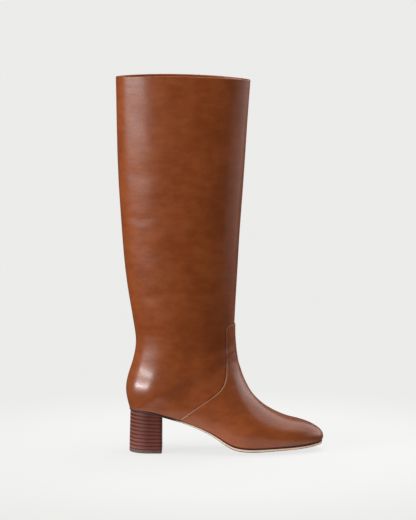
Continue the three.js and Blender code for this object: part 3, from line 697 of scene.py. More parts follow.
@dataclass
class Vamp:
    """Forefoot leather lapped over the upper, with its raw edge and a row of stitches along it."""

    last: Last
    thickness: float = 1.2
    edge_round: float = 0.9  # over which the raw edge rises to the full thickness
    samples: int = 400
    corner: float = 9.4  # knot of the raw edge where its side turns into its top
    side_rows: int = 150
    across: int = 100
    lap_rows: int = 56
    toe_rows: int = 104
    tab_root: float = 0.357  # how far along the last's sections the edge is where the tab begins
    stitch_inset: float = 2.1
    stitch_pitch: float = 2.6
    stitch_length: float = 1.9
    stitch_radius: float = 0.24
    stitch_groove: float = 0.16
    row_ends: float = 2.0  # from each feather edge to the middle of the first and last stitch
    groove_width: float = 0.5
    corner_reach: float = 12.0  # from the feather edge, over which the strip turns to run along the sole
    overhang: float = 1.3  # how much further from the feather edge the painted crease shade reaches than on the upper

    STRIP = (0.0, 0.06, 0.15, 0.28, 0.45, 0.65, 0.9, 1.15, 1.4, 1.6, 1.8, 1.95, 2.1, 2.25, 2.4, 2.6, 2.85, 3.2)

    def build(self) -> tuple[bpy.types.Object, bpy.types.Object]:
        """Makes the leather and its stitches.

        Returns:
            The two objects.
        """
        at, along = self.edge()
        strip = [(at, along, 0.0)]
        across = self._across(at, along)
        for before, after in zip(self.STRIP, self.STRIP[1:]):
            at, along = self._stepped(at, along, across * (after - before))
            strip.append((at, along, after))
        tab, foot = self._inside(at, along)
        sheets = []
        for rows in (strip, tab, foot):
            points = np.stack([self._raised(*row) for row in rows])
            from_edge = np.stack([np.full(row[0].shape, row[2]) for row in rows])
            above = above_sole(self.last, points) - self.overhang
            sheets.append(Sheet(points, {"from_edge": from_edge, "above_sole": above, "by_vamp": FAR}))
        for is_inner, column in ((False, 0), (True, -1)):
            rows = strip + foot[1:]
            places = np.array([row[0][column] for row in rows])
            share = np.array([self._height(row[2]) / self.thickness for row in rows])[:, None, None]
            under = lerp(tucked(self.last, places, 0.0, is_inner),
                         tucked(self.last, places, self.thickness, is_inner), share)
            border = np.stack([self._raised(*row)[column] for row in rows])[:, None]
            edge = np.concatenate([border, under], axis=1)
            from_edge = np.array([row[2] for row in rows])[:, None] * np.ones(edge.shape[:2])
            sheets.append(Sheet(edge, {"from_edge": from_edge, "by_vamp": FAR}, flip=not is_inner))
        return build_piece("vamp_leather", sheets), self._stitches(strip)

    def edge(self) -> tuple[Array, Array]:
        """Places along the raw edge, from one feather edge up its side, over the shin and down to the other.

        Returns:
            The sections, and how far along them.
        """
        knots = np.asarray(VAMP_EDGE, float)
        knots = np.concatenate([2.0 * knots[:1] - knots[1:2], knots, 2.0 * knots[-1:] - knots[-2:-1]])
        spans = np.linspace(0.0, len(VAMP_EDGE) - 1.0, self.samples + 1)
        span = np.clip(np.floor(spans).astype(int), 0, len(VAMP_EDGE) - 2)
        share = (spans - span)[:, None]
        p0, p1, p2, p3 = (knots[span + i] for i in range(4))
        curve = 0.5 * (2.0 * p1 + (p2 - p0) * share + (2.0 * p0 - 5.0 * p1 + 4.0 * p2 - p3) * share**2
                       + (3.0 * p1 - p0 - 3.0 * p2 + p3) * share**3)
        at, along = self.last.place_of(curve[:, 0], curve[:, 1])
        along[0], along[-1] = 0.0, 0.5
        points = self.last.point(at, along)
        lengths = lengths_along(points)
        turn = np.interp(self.corner, spans, lengths)
        side = np.linspace(0.0, turn, self.side_rows + 1)
        top = np.linspace(turn, lengths[-1], self.across // 2 + 1)[1:]
        even = np.concatenate([side, top])
        at, along = np.interp(even, lengths, at), np.interp(even, lengths, along)
        return np.concatenate([at, at[-2::-1]]), np.concatenate([along, 1.0 - along[-2::-1]])

    def _inside(self, at: Array, along: Array) -> tuple[list[Row], list[Row]]:
        """Rows across the vamp inside its stitched strip.

        Args:
            at: The strip's inner line, as sections.
            along: How far along them.

        Returns:
            Rows from the tab's top down to its root, and rows from there and from the rest of the strip to
            the toe.
        """
        reach, side = self.STRIP[-1], self.side_rows
        root = int(np.searchsorted(along[:side], self.tab_root))
        shares = np.linspace(0.0, 1.0, self.across + 1)
        tab = [(at[side : side + self.across + 1], along[side : side + self.across + 1], reach)]
        for k in range(side - 1, root - 1, -1):
            tab.append((lerp(at[k], at[-1 - k], shares), lerp(along[k], along[-1 - k], shares), reach))
        lap, across = (
            np.concatenate([line[:root], row, line[-root:]]) for line, row in zip((at, along), tab[-1])
        )
        lap_shares = np.linspace(0.0, 1.0, self.lap_rows + 1)
        foot = [(lerp(lap, float(BALL), share), across, reach) for share in lap_shares]
        for section in np.linspace(BALL, TIP, self.toe_rows + 1)[1:]:
            foot.append((np.full(lap.shape, section), across, reach))
        return tab, foot

    def _slopes(self, at: Array, along: Array) -> tuple[Array, Array]:
        """How a point of the last moves with its section, and with its place along the section."""
        step_at, step_along = 0.01, 0.002
        low, high = np.maximum(along - step_along, 0.0), np.minimum(along + step_along, 1.0)
        by_at = (self.last.point(at + step_at, along) - self.last.point(at - step_at, along)) / (2.0 * step_at)
        by_along = (self.last.point(at, high) - self.last.point(at, low)) / (high - low)[:, None]
        return by_at, by_along

    def _across(self, at: Array, along: Array) -> Array:
        """Directions over the leather away from the raw edge, a millimetre of distance from it long.

        Args:
            at: The edge's sections.
            along: How far along them.

        Returns:
            One direction for each place. At the feather edge it runs along the sole.
        """
        points = self.last.point(at, along)
        run = np.gradient(points, axis=0)
        run /= np.linalg.norm(run, axis=1, keepdims=True)
        by_at = self._slopes(at, along)[0]
        across = np.cross(self.last.normal(at, along), run)
        across /= np.linalg.norm(across, axis=1, keepdims=True)
        if across[0] @ by_at[0] < 0.0:
            across = -across
        lengths = lengths_along(points)
        turned = across.copy()
        for end in (0, -1):
            slide = float(by_at[end] @ run[end]) / float(by_at[end] @ across[end])
            near = 1.0 - smoothstep(np.abs(lengths - lengths[end]), 0.0, self.corner_reach)
            turned += run * (slide * near)[:, None]
        return turned

    def _stepped(self, at: Array, along: Array, move: Array) -> tuple[Array, Array]:
        """Places after a small move over the last's surface.

        Args:
            at: The sections before it.
            along: How far along them.
            move: The move of each place in space.

        Returns:
            The sections after it, and how far along them.
        """
        by_at, by_along = self._slopes(at, along)
        pairs = ((by_at, by_at), (by_at, by_along), (by_along, by_along), (move, by_at), (move, by_along))
        aa, ab, bb, ma, mb = (np.sum(p * q, axis=1) for p, q in pairs)
        size = aa * bb - ab * ab
        new_along = np.clip(along + (mb * aa - ma * ab) / size, 0.0, 1.0)
        new_along[0], new_along[-1] = 0.0, 1.0
        return at + (ma * bb - mb * ab) / size, new_along

    def _height(self, from_edge: float) -> float:
        """How far the leather's face stands off the upper at a distance from the raw edge."""
        rise = min(from_edge / self.edge_round, 1.0)
        groove = self.stitch_groove * math.exp(-(((from_edge - self.stitch_inset) / self.groove_width) ** 2))
        return self.thickness * math.sqrt(1.0 - (1.0 - rise) ** 2) - groove + 0.02

    def _raised(self, at: Array, along: Array, from_edge: float) -> Array:
        """A row of the leather's face."""
        points = self.last.point(at, along, self._height(from_edge))
        if np.all(at >= TIP):
            return points
        return points + self.last.normal(np.minimum(at, NEAR_TIP), along) * relief(points)[:, None]

    def _stitches(self, strip: Sequence[tuple[Array, Array, float]]) -> bpy.types.Object:
        """A row of short threads, half sunk in their groove."""
        row = min(strip, key=lambda entry: abs(entry[2] - self.stitch_inset))
        path = self._raised(*row)
        out = self.last.normal(row[0], row[1])
        lengths = lengths_along(path)
        first, last = self.row_ends, lengths[-1] - self.row_ends
        sheets = []
        for middle in np.linspace(first, last, int((last - first + 1.0) / self.stitch_pitch)):
            shares = np.linspace(-0.5, 0.5, 7)
            spots = middle + shares * self.stitch_length
            centre = np.stack([np.interp(spots, lengths, path[:, i]) for i in range(3)], axis=-1)
            up = np.stack([np.interp(spots, lengths, out[:, i]) for i in range(3)], axis=-1)
            run = np.gradient(centre, axis=0)
            run /= np.linalg.norm(run, axis=1, keepdims=True)
            aside = np.cross(run, up)
            thick = self.stitch_radius * np.sqrt(np.clip(1.0 - (2.0 * shares) ** 4, 0.0, 1.0))[:, None, None]
            sink = self.stitch_radius * (0.35 - 1.1 * (2.0 * shares) ** 2)[:, None]
            turns = np.linspace(0.0, 2.0 * np.pi, 9)[None, :, None]
            ring = (centre + up * sink)[:, None] + thick * (
                np.cos(turns) * aside[:, None] + np.sin(turns) * up[:, None])
            sheets.append(Sheet(ring, flip=True))
        return build_piece("vamp_stitches", sheets)


# ---------- Sole ----------
@dataclass
class Outsole:
    """The thin leather sole under the upper, from the heel seat to the toe."""

    last: Last
    edge_round: float = 0.55
    stations: int = 220
    across: int = 24

    def measure(self, at: Array, at_seat: float, at_forefoot: float) -> Array:
        """A measure of the sole that changes between the heel seat and the ball."""
        return lerp(at_seat, at_forefoot, smoothstep(at, SEAT_END, BALL))

    def outline(self, at: Array, margin: Array) -> dict[str, Array]:
        """Places along the sole's edge, a margin beyond the upper's feather edge."""
        s = self.last.grown(at, margin)
        tip = self.last.section(np.float64(TIP))
        pointed = at >= TIP
        return {
            "x": np.where(pointed, tip["back_x"] + margin, s["back_x"]),
            "outer": np.where(pointed, tip["ridge"], -s["seat_outer"]),
            "inner": np.where(pointed, tip["ridge"], s["seat_inner"]),
            "z": s["back_z"],
        }

    def build(self) -> bpy.types.Object:
        """Makes the sole: top, rounded edge and bottom in one skin."""
        at = np.linspace(FEATHER, TIP, self.stations + 1)
        margin = self.measure(at, SEAT_MARGIN, SOLE_MARGIN)
        thickness = self.measure(at, SEAT_THICKNESS, SOLE_THICKNESS)
        columns, sides, levels = [], [], []
        for inset, across, level, edge in self._profile():
            spot = self.outline(at, margin - inset * np.minimum(1.0, thickness / SOLE_THICKNESS))
            y = lerp(spot["outer"], spot["inner"], (across + 1.0) / 2.0)
            camber = self.last.camber(at) * (1.0 - across * across)
            height = np.maximum(spot["z"] - SOLE_GAP - camber - level * thickness, 0.0)
            columns.append(np.stack([spot["x"], y, height], axis=-1))
            sides.append(np.full(at.shape, edge))
            levels.append(np.full(at.shape, level))
        marks = {"sole_edge": np.stack(sides, axis=1), "sole_down": np.stack(levels, axis=1)}
        return build_piece("leather_outsole", [Sheet(np.stack(columns, axis=1), marks)])

    def _profile(self) -> list[tuple[float, float, float, float]]:
        """A turn round the sole's cross-section.

        Returns:
            How far in from the edge, how far across, how far down as a share of the thickness, and whether it is
            on the edge's face, for each point.
        """
        corner = self.edge_round / SOLE_THICKNESS
        turn = [(1.0 - math.sin(a), 1.0 - math.cos(a)) for a in np.linspace(0.0, np.pi / 2.0, 5)]
        edge = [(self.edge_round * i, corner * d, 0.3 + 0.7 * (1.0 - i)) for i, d in turn]
        edge += [(0.0, level, 1.0) for level in np.linspace(corner, 1.0 - corner, 5)[1:-1]]
        edge += [(self.edge_round * i, 1.0 - corner * d, 0.3 + 0.7 * (1.0 - i)) for i, d in reversed(turn)]
        flat = np.linspace(-1.0, 1.0, self.across + 1)[1:-1]
        profile = [(self.edge_round, float(v), 0.0, 0.0) for v in flat]
        profile += [(inset, 1.0, level, mark) for inset, level, mark in edge]
        profile += [(self.edge_round, float(v), 1.0, 0.0) for v in flat[::-1]]
        profile += [(inset, -1.0, level, mark) for inset, level, mark in reversed(edge)]
        return profile + profile[:1]


@dataclass
class Insole:
    """The covered insole inside the foot."""

    sole: Outsole
    thickness: float = 2.2
    clearance: float = 0.4
    camber_kept: float = 0.6
    stations: int = 90
    across: int = 24

    def build(self) -> bpy.types.Object:
        """Makes the insole's face, rolled down at its edge."""
        at = np.linspace(FEATHER, TIP, self.stations + 1)
        columns = []
        for across in np.linspace(-1.0, 1.0, self.across + 1):
            spot = self.sole.outline(at, np.full(at.shape, -WALL - self.clearance))
            camber = self.sole.last.camber(at) * self.camber_kept * (1.0 - across * across)
            roll = 0.8 * abs(across) ** 12
            y = lerp(spot["outer"], spot["inner"], (across + 1.0) / 2.0)
            columns.append(np.stack([spot["x"], y, spot["z"] + self.thickness - camber - roll], axis=-1))
        return build_piece("insole_cover", [Sheet(np.stack(columns, axis=1))])


# ---------- Heel ----------
Height = Callable[[Array], Array]  # of a face of a plate, by how far forward a point is


@dataclass
class StackedHeel:
    """The block heel: leather lifts one above the other, on a wearing lift."""

    sole: Outsole
    lifts: int = 10
    top_piece_thickness: float = 4.3
    breast_x: float = 20.4
    back_x: float = -20.2
    flare: float = 1.5
    half_width: float = 24.5
    seat_half_width: float = 27.0
    widest_x: float = 5.0
    bevel_length: float = 2.6
    bevel_width: float = 1.4
    lean: float = math.radians(3.4)
    edge_round: float = 0.14
    joint_share: float = 0.12  # how far a lift's faces come into the fine gap to the next, in millimetres

    def _top(self, x: Array) -> Array:
        """Height of the heel's top, under the outsole."""
        places = np.linspace(FEATHER, HEEL_END, 600)
        section = self.sole.last.section(places)
        at = np.interp(x, section["back_x"], places)
        height = np.interp(x, section["back_x"], section["back_z"])
        return height - 2.0 * SOLE_GAP - self.sole.measure(at, SEAT_THICKNESS, SOLE_THICKNESS)

    def _joint(self, number: int, x: Array) -> Array:
        """Height of the joint above a number of lifts; the last one is the heel's top."""
        if number == self.lifts:
            return self._top(x)
        pitch = (float(self._top(np.float64(self.back_x))) - self.top_piece_thickness) / self.lifts
        lean = math.tan(self.lean * number / self.lifts)
        return self.top_piece_thickness + number * pitch - lean * (x - self.back_x)

    def _outline(self, share: float, inset: float) -> Array:
        """A turn round the heel at a share of its height.

        Args:
            share: 0 on the ground and 1 under the sole.
            inset: How far inside the heel's face.

        Returns:
            Points as (x, y), closed, starting at the back.
        """
        back = self.back_x + self.flare * share
        width = lerp(self.half_width, self.seat_half_width, share)
        turn = np.linspace(0.0, np.pi / 2.0, 41)
        half = [(self.widest_x - (self.widest_x - back) * math.cos(a), width * math.sin(a)) for a in turn]
        first = (self.breast_x - self.bevel_length, width)
        second = (self.breast_x, width - self.bevel_width)
        half += [(x, width) for x in np.linspace(self.widest_x, first[0] - 0.4, 10)[1:]]
        half += [first, (lerp(first[0], second[0], 0.15), lerp(first[1], second[1], 0.15))]
        half += [(lerp(first[0], second[0], 0.85), lerp(first[1], second[1], 0.85)), second]
        half += [(self.breast_x, second[1] - 0.4)]
        half += [(self.breast_x, y) for y in np.linspace(second[1] - 3.0, 0.0, 8)]
        half_points = np.array(half)
        loop = np.concatenate([half_points, (half_points * (1.0, -1.0))[-2::-1]])
        run = np.gradient(np.concatenate([loop[-2:-1], loop, loop[1:2]]), axis=0)[1:-1]
        out = np.stack([-run[:, 1], run[:, 0]], axis=-1) / np.linalg.norm(run, axis=1, keepdims=True)
        return loop - out * inset

    def _plate(self, name: str, bottom: Height, top: Height) -> bpy.types.Object:
        """One plate of the heel.

        Args:
            name: The piece's name.
            bottom: Height of its lower face, by how far forward a point is.
            top: Height of its upper face.

        Returns:
            The object, marked with how far up the plate each point is.
        """
        middle = np.float64(0.0)
        share = float((bottom(middle) + top(middle)) / 2.0 / self._top(middle))
        r = self.edge_round
        curve = [(r * (1.0 - math.sin(a)), r * (1.0 - math.cos(a))) for a in np.linspace(0.0, np.pi / 2.0, 4)]
        steps = [(i, d, 0.0) for i, d in curve] + [(0.0, 0.0, s) for s in (0.2, 0.4, 0.6, 0.8)]
        steps += [(i, -d, 1.0) for i, d in reversed(curve)]
        rows, rises = [], []
        for inset, lift, level in steps:
            loop = self._outline(share, inset)
            heights = lerp(bottom(loop[:, 0]), top(loop[:, 0]), level) + lift
            rows.append(np.column_stack([loop, heights]))
            rises.append(np.full(len(loop), level))
        for face, level in ((bottom, 0.0), (top, 1.0)):
            ring = rows[-1] if level else rows[0]
            for step in (0.5, 1.0):
                cap = ring * (1.0 - step)
                cap[:, 2] = face(cap[:, 0])
                rows.insert(len(rows) if level else 0, cap)
                rises.insert(len(rises) if level else 0, np.full(len(ring), level))
        return build_piece(name, [Sheet(np.stack(rows), {"lift_share": np.stack(rises)})])

    def build(self) -> list[bpy.types.Object]:
        """Makes the top piece and the lifts above it.

        Returns:
            The objects from the ground up.
        """
        close = self.joint_share
        thickness = self.top_piece_thickness
        plates = [self._plate("wearing_lift", lambda x: 0.0 * x, lambda x: 0.0 * x + thickness)]
        for number in range(1, self.lifts + 1):
            plates.append(self._plate(
                f"stacked_lift_{number:02d}",
                lambda x, n=number: self._joint(n - 1, x) + SOLE_GAP - close,
                lambda x, n=number: self._joint(n, x) + (close if n < self.lifts else 0.0),
            ))
        return plates


# ---------- Finishes ----------
Value = Union[float, "Shade"]


class Shade:
    """A socket of a finish's nodes that can be reckoned with."""

    def __init__(self, bench: Bench, socket: bpy.types.NodeSocket) -> None:
        """Keeps the socket and the bench that it is made on."""
        self.bench = bench
        self.socket = socket

    def _reckon(self, operation: str, first: Value, second: Value) -> Shade:
        """A Math node on two values."""
        return self.bench.node("ShaderNodeMath", {"operation": operation}, {0: first, 1: second})

    def __add__(self, other: Value) -> Shade:
        """This value and another together."""
        return self._reckon("ADD", self, other)

    def __radd__(self, other: Value) -> Shade:
        """Another value and this one together."""
        return self._reckon("ADD", other, self)

    def __sub__(self, other: Value) -> Shade:
        """This value less another."""
        return self._reckon("SUBTRACT", self, other)

    def __rsub__(self, other: Value) -> Shade:
        """Another value less this one."""
        return self._reckon("SUBTRACT", other, self)

    def __mul__(self, other: Value) -> Shade:
        """This value times another."""
        return self._reckon("MULTIPLY", self, other)

    def __rmul__(self, other: Value) -> Shade:
        """Another value times this one."""
        return self._reckon("MULTIPLY", other, self)


class Bench:
    """Where the nodes of one material, or of the world, are put together."""

    def __init__(self, owner: Union[bpy.types.Material, bpy.types.World]) -> None:
        """Clears the nodes of a material or world."""
        self.owner = owner
        owner.use_nodes = True
        self.tree = owner.node_tree
        self.tree.nodes.clear()

    def node(
        self,
        kind: str,
        settings: Optional[Mapping[str, Any]] = None,
        inputs: Optional[Mapping[Union[int, str], Any]] = None,
        output: Union[int, str] = 0,
    ) -> Shade:
        """Adds a node.

        Args:
            kind: Its type.
            settings: What is set on it first, with a colour ramp's stops as (place, colour) pairs.
            inputs: The values or links of its sockets.
            output: Which of its outputs is used.

        Returns:
            That output.
        """
        made = self.tree.nodes.new(kind)
        for key, value in (settings or {}).items():
            if key == "stops":
                for place, colour in value[2:]:
                    made.color_ramp.elements.new(place)
                for element, (place, colour) in zip(made.color_ramp.elements, value):
                    element.position, element.color = place, (*colour, 1.0)
            else:
                setattr(made, key, value)
        for key, value in (inputs or {}).items():
            if isinstance(value, Shade):
                self.tree.links.new(value.socket, made.inputs[key])
            elif isinstance(value, tuple) and made.inputs[key].type == "RGBA":
                made.inputs[key].default_value = (*value, 1.0)
            else:
                made.inputs[key].default_value = value
        return Shade(self, made.outputs[output])

    def place(self, stretch: Triple = (1.0, 1.0, 1.0)) -> Shade:
        """Where a point is on the boot, in millimetres, squeezed along each axis."""
        spot = self.node("ShaderNodeTexCoord", output="Object")
        scale = tuple(share / MM for share in stretch)
        return self.node("ShaderNodeMapping", {}, {"Vector": spot, "Scale": scale})

    def noise(self, size: float, detail: float, stretch: Triple = (1.0, 1.0, 1.0)) -> Shade:
        """Soft noise around 0.5 with features of a size in millimetres."""
        inputs = {"Vector": self.place(stretch), "Scale": 1.0 / size, "Detail": detail, "Roughness": 0.55}
        return self.node("ShaderNodeTexNoise", {}, inputs)

    def cells(self, size: float) -> Shade:
        """Distance to the nearest of scattered points, a size apart in millimetres."""
        return self.node("ShaderNodeTexVoronoi", {}, {"Vector": self.place(), "Scale": 1.0 / size})

    def between(self, value: Shade, low: float, high: float) -> Shade:
        """A smooth rise from 0 to 1 while a value goes from low to high."""
        settings = {"interpolation_type": "SMOOTHSTEP"}
        return self.node("ShaderNodeMapRange", settings, {"Value": value, "From Min": low, "From Max": high})

    def mark(self, name: str) -> Shade:
        """A mark that the mesh carries."""
        return self.node("ShaderNodeAttribute", {"attribute_name": name}, output="Fac")

    def along(self, axis: str) -> Shade:
        """How far along an axis a point is, in millimetres."""
        return self.node("ShaderNodeSeparateXYZ", {}, {"Vector": self.place()}, axis)

    def mix(self, share: Value, first: Any, second: Any) -> Shade:
        """A mix of two colours."""
        return self.node("ShaderNodeMix", {"data_type": "RGBA"}, {0: share, 6: first, 7: second}, 2)

    def surface(self, height: Shade, sockets: Mapping[str, Any]) -> bpy.types.Material:
        """Closes the finish with its shader.

        Args:
            height: Relief in millimetres.
            sockets: What goes into the shader's sockets.

        Returns:
            The finished material.
        """
        bump = self.node("ShaderNodeBump", {}, {"Height": height, "Distance": MM, "Strength": 1.0})
        shader = self.node("ShaderNodeBsdfPrincipled", {}, {**sockets, "Normal": bump})
        self.close(shader)
        return self.owner

    def close(self, shader: Shade, kind: str = "ShaderNodeOutputMaterial") -> None:
        """Leads a shader to the output."""
        made = self.tree.nodes.new(kind)
        self.tree.links.new(shader.socket, made.inputs["Surface"])


@dataclass(frozen=True)
class CalfLeather:
    """Polished cognac calf: a deep ground under a light finish, with a fine grain, and painted shade in the crease
    at the feather edge, beside the vamp and on the raw edge up the shin.
    """

    name: str = "cognac_calf"
    deep: Colour = (0.225, 0.048, 0.009)
    ground: Colour = (0.26, 0.058, 0.012)
    light: Colour = (0.3, 0.072, 0.017)
    raw: Colour = (0.33, 0.17, 0.11)
    # painted shade on the raw edge up the shin
    raw_painted_shade: Colour = (0.26, 0.09, 0.045)
    # painted shade, for the crease at the feather edge and beside the vamp's edge
    crevice_shade: Colour = (0.035, 0.008, 0.005)
    tone_range: Range = (0.36, 0.64)
    raw_edge: Range = (0.3, 0.6)  # distance from the vamp's edge over which its raw edge ends
    raw_shade_turn: Range = (86.0, 104.0)  # height over which painted shade darkens the raw edge up the shin
    crevice_shade_edge: Range = (1.6, 3.0)  # distance from the feather edge over which the painted shade of the crease under the upper ends
    lap_edge: Range = (0.4, 2.2)  # distance from the vamp over which the painted shadow beside its edge ends
    # how dark the painted shadow beside the vamp's edge is
    lap_shadow_depth: float = 0.75
    roughness: float = 0.4
    roughness_spread: float = 0.12
    raw_roughness: float = 0.12
    shaft_coat: float = 0.2
    foot_coat: float = 0.65
    polish_turn: Range = (90.0, 112.0)  # height over which the polish of the foot ends
    coat_roughness: float = 0.22
    gloss: float = 0.22

    def make(self) -> bpy.types.Material:
        """Makes the material.

        Returns:
            It, reading the marks from_edge, above_sole and by_vamp.
        """
        bench = Bench(bpy.data.materials.new(self.name))
        clouds = bench.noise(38.0, 2.0, (1.0, 1.0, 0.7))
        mottle = bench.noise(9.0, 4.0, (0.6, 0.6, 1.2))
        fleck = bench.noise(1.7, 3.0)
        tone = bench.between(0.5 * clouds + 0.36 * mottle + 0.14 * fleck, *self.tone_range)
        colour = bench.node("ShaderNodeValToRGB", {"stops": (
            (0.0, self.deep), (0.5, self.ground), (1.0, self.light))}, {"Fac": tone})
        edge = bench.mark("from_edge")
        height = bench.along("Z")
        raw = bench.between(edge, 0.001, 0.05) * (1.0 - bench.between(edge, *self.raw_edge))
        # Up the shin the raw edge turns from its own colour to painted shade.
        raw_colour = bench.mix(bench.between(height, *self.raw_shade_turn), self.raw, self.raw_painted_shade)
        # Painted shade in the crease where the leather turns in over the sole.
        crevice_shade = 1.0 - bench.between(bench.mark("above_sole"), *self.crevice_shade_edge)
        # Painted shadow on the upper beside the vamp's edge.
        lap_shadow = 1.0 - bench.between(bench.mark("by_vamp"), *self.lap_edge)
        colour = bench.mix(raw, colour, raw_colour)
        colour = bench.mix(self.lap_shadow_depth * lap_shadow, colour, self.crevice_shade)
        colour = bench.mix(crevice_shade, colour, self.crevice_shade)
        shaft = bench.between(height, *self.polish_turn)
        polish = self.foot_coat + (self.shaft_coat - self.foot_coat) * shaft
        ripple = bench.noise(4.2, 2.0, (0.45, 0.45, 1.0))
        swell = bench.noise(13.0, 2.0, (0.6, 0.6, 1.0))
        pores = bench.cells(1.05)
        grain = bench.noise(0.7, 2.0)
        roughness = self.roughness + self.roughness_spread * (mottle - 0.5) + self.raw_roughness * raw
        return bench.surface(0.03 * pores + 0.02 * grain + 0.1 * ripple + 0.42 * swell, {
            "Base Color": colour,
            "Roughness": roughness,
            "Coat Weight": polish * (1.0 - crevice_shade),
            "Coat Roughness": self.coat_roughness,
            "Specular IOR Level": self.gloss,
        })


@dataclass(frozen=True)
class LiningLeather:
    """Soft unpolished lining leather with a fine nap."""

    name: str = "tan_lining"
    dark: Colour = (0.33, 0.15, 0.075)
    light: Colour = (0.45, 0.23, 0.13)
    roughness: float = 0.62

    def make(self) -> bpy.types.Material:
        """Makes the material."""
        bench = Bench(bpy.data.materials.new(self.name))
        tone = bench.between(0.6 * bench.noise(22.0, 3.0) + 0.4 * bench.noise(2.0, 2.0), 0.35, 0.65)
        colour = bench.mix(tone, self.dark, self.light)
        height = 0.03 * bench.cells(0.9) + 0.03 * bench.noise(3.0, 3.0)
        roughness = self.roughness + 0.1 * (tone - 0.5)
        return bench.surface(height, {"Base Color": colour, "Roughness": roughness})


@dataclass(frozen=True)
class SoleLeather:
    """Natural sole leather: its trimmed edge pale and waxed, darker towards the heel, with painted shade in a dark
    band above the pale edge and a painted contact shadow below it.
    """

    name: str = "natural_sole"
    dark: Colour = (0.72, 0.46, 0.3)
    light: Colour = (0.9, 0.63, 0.46)
    dark_and_painted_shade: Colour = (0.06, 0.022, 0.015)
    dark_heel_end: Range = (33.0, 45.0)  # along the boot, where the darker heel end gives way to the pale edge
    pale_top: Range = (0.1, 0.26)  # shares of the thickness over which the pale edge begins; above it the edge is painted shade
    pale_bottom: Range = (0.72, 0.88)  # and ends; below it the edge and the bottom are a painted contact shadow
    roughness: float = 0.5

    def make(self) -> bpy.types.Material:
        """Makes the material, reading the marks sole_edge and sole_down."""
        bench = Bench(bpy.data.materials.new(self.name))
        fibre = bench.noise(1.6, 3.0, (0.12, 0.12, 1.0))
        tone = bench.between(0.5 * bench.noise(18.0, 3.0) + 0.5 * fibre, 0.35, 0.65)
        colour = bench.mix(tone, self.dark, self.light)
        edge = bench.mark("sole_edge")
        down = bench.mark("sole_down")
        # Outside the pale band the edge takes the dark colour: painted shade above, a painted contact shadow below,
        # and darker towards the heel.
        pale = bench.between(down, *self.pale_top) * (1.0 - bench.between(down, *self.pale_bottom))
        colour = bench.mix(pale * bench.between(bench.along("X"), *self.dark_heel_end), self.dark_and_painted_shade, colour)
        height = 0.03 * fibre + 0.02 * bench.noise(0.9, 2.0)
        roughness = self.roughness + 0.12 * (1.0 - edge) + 0.08 * (tone - 0.5)
        return bench.surface(height, {"Base Color": colour, "Roughness": roughness})


@dataclass(frozen=True)
class StackedLeather:
    """Leather lifts on edge: a pale band in the middle of each and a dark one at each joint, with a painted
    highlight that makes the bands paler towards the back.
    """

    name: str = "stacked_lifts"
    band: Colour = (0.155, 0.04, 0.028)
    band_painted_highlight: Colour = (0.25, 0.085, 0.06)
    joint: Colour = (0.07, 0.016, 0.012)
    band_bottom: Range = (0.08, 0.34)  # shares of a lift's thickness over which its pale band begins
    band_top: Range = (0.72, 0.94)  # and ends
    back: Range = (-20.0, 2.0)  # along the boot, where the painted highlight on the back gives way to the darker front
    roughness: float = 0.5
    gloss: float = 0.22

    def make(self) -> bpy.types.Material:
        """Makes the material, reading the mark lift_share."""
        bench = Bench(bpy.data.materials.new(self.name))
        share = bench.mark("lift_share") + 0.16 * (bench.noise(7.0, 2.0, (0.5, 0.5, 0.6)) - 0.5)
        pale = bench.between(share, *self.band_bottom) * (1.0 - bench.between(share, *self.band_top))
        fibre = bench.noise(0.8, 3.0, (0.1, 0.1, 1.0))
        streak = bench.between(fibre, 0.36, 0.66)
        # A painted highlight makes the bands paler towards the back.
        band = bench.mix(bench.between(bench.along("X"), *self.back), self.band_painted_highlight, self.band)
        colour = bench.mix(pale * (0.65 + 0.35 * streak), self.joint, band)
        height = 0.03 * fibre + 0.025 * bench.noise(2.4, 2.0, (0.3, 0.3, 1.0))
        roughness = self.roughness + 0.12 * (streak - 0.5)
        return bench.surface(
            height, {"Base Color": colour, "Roughness": roughness, "Specular IOR Level": self.gloss}
        )


@dataclass(frozen=True)
class HeelRubber:
    """Hard brown rubber of the wearing lift."""

    name: str = "brown_rubber"
    dark: Colour = (0.07, 0.035, 0.028)
    light: Colour = (0.12, 0.062, 0.048)
    roughness: float = 0.6

    def make(self) -> bpy.types.Material:
        """Makes the material."""
        bench = Bench(bpy.data.materials.new(self.name))
        tone = bench.between(bench.noise(2.5, 4.0, (0.3, 0.3, 1.0)), 0.35, 0.65)
        colour = bench.mix(tone, self.dark, self.light)
        roughness = self.roughness + 0.1 * (tone - 0.5)
        return bench.surface(0.02 * bench.noise(0.5, 2.0), {"Base Color": colour, "Roughness": roughness})


@dataclass(frozen=True)
class Thread:
    """Waxed thread a shade darker than the leather."""

    name: str = "brown_thread"
    dark: Colour = (0.13, 0.04, 0.016)
    light: Colour = (0.2, 0.07, 0.03)
    roughness: float = 0.5

    def make(self) -> bpy.types.Material:
        """Makes the material."""
        bench = Bench(bpy.data.materials.new(self.name))
        strand = bench.noise(0.3, 2.0, (1.0, 1.0, 0.5))
        colour = bench.mix(strand, self.dark, self.light)
        roughness = self.roughness + 0.1 * (strand - 0.5)
        return bench.surface(0.02 * strand, {"Base Color": colour, "Roughness": roughness})


# ---------- Studio ----------
PALE = (0.838, 0.838, 0.823)
AXIS_X = 0.045  # metres from the origin to the middle of the shaft
FLOOR_X = 0.09  # metres from the origin to the middle of the floor
FLOOR_SIDES = 96
FLOOR_HOLE = 0.0005  # metres across which the floor's middle is one small face


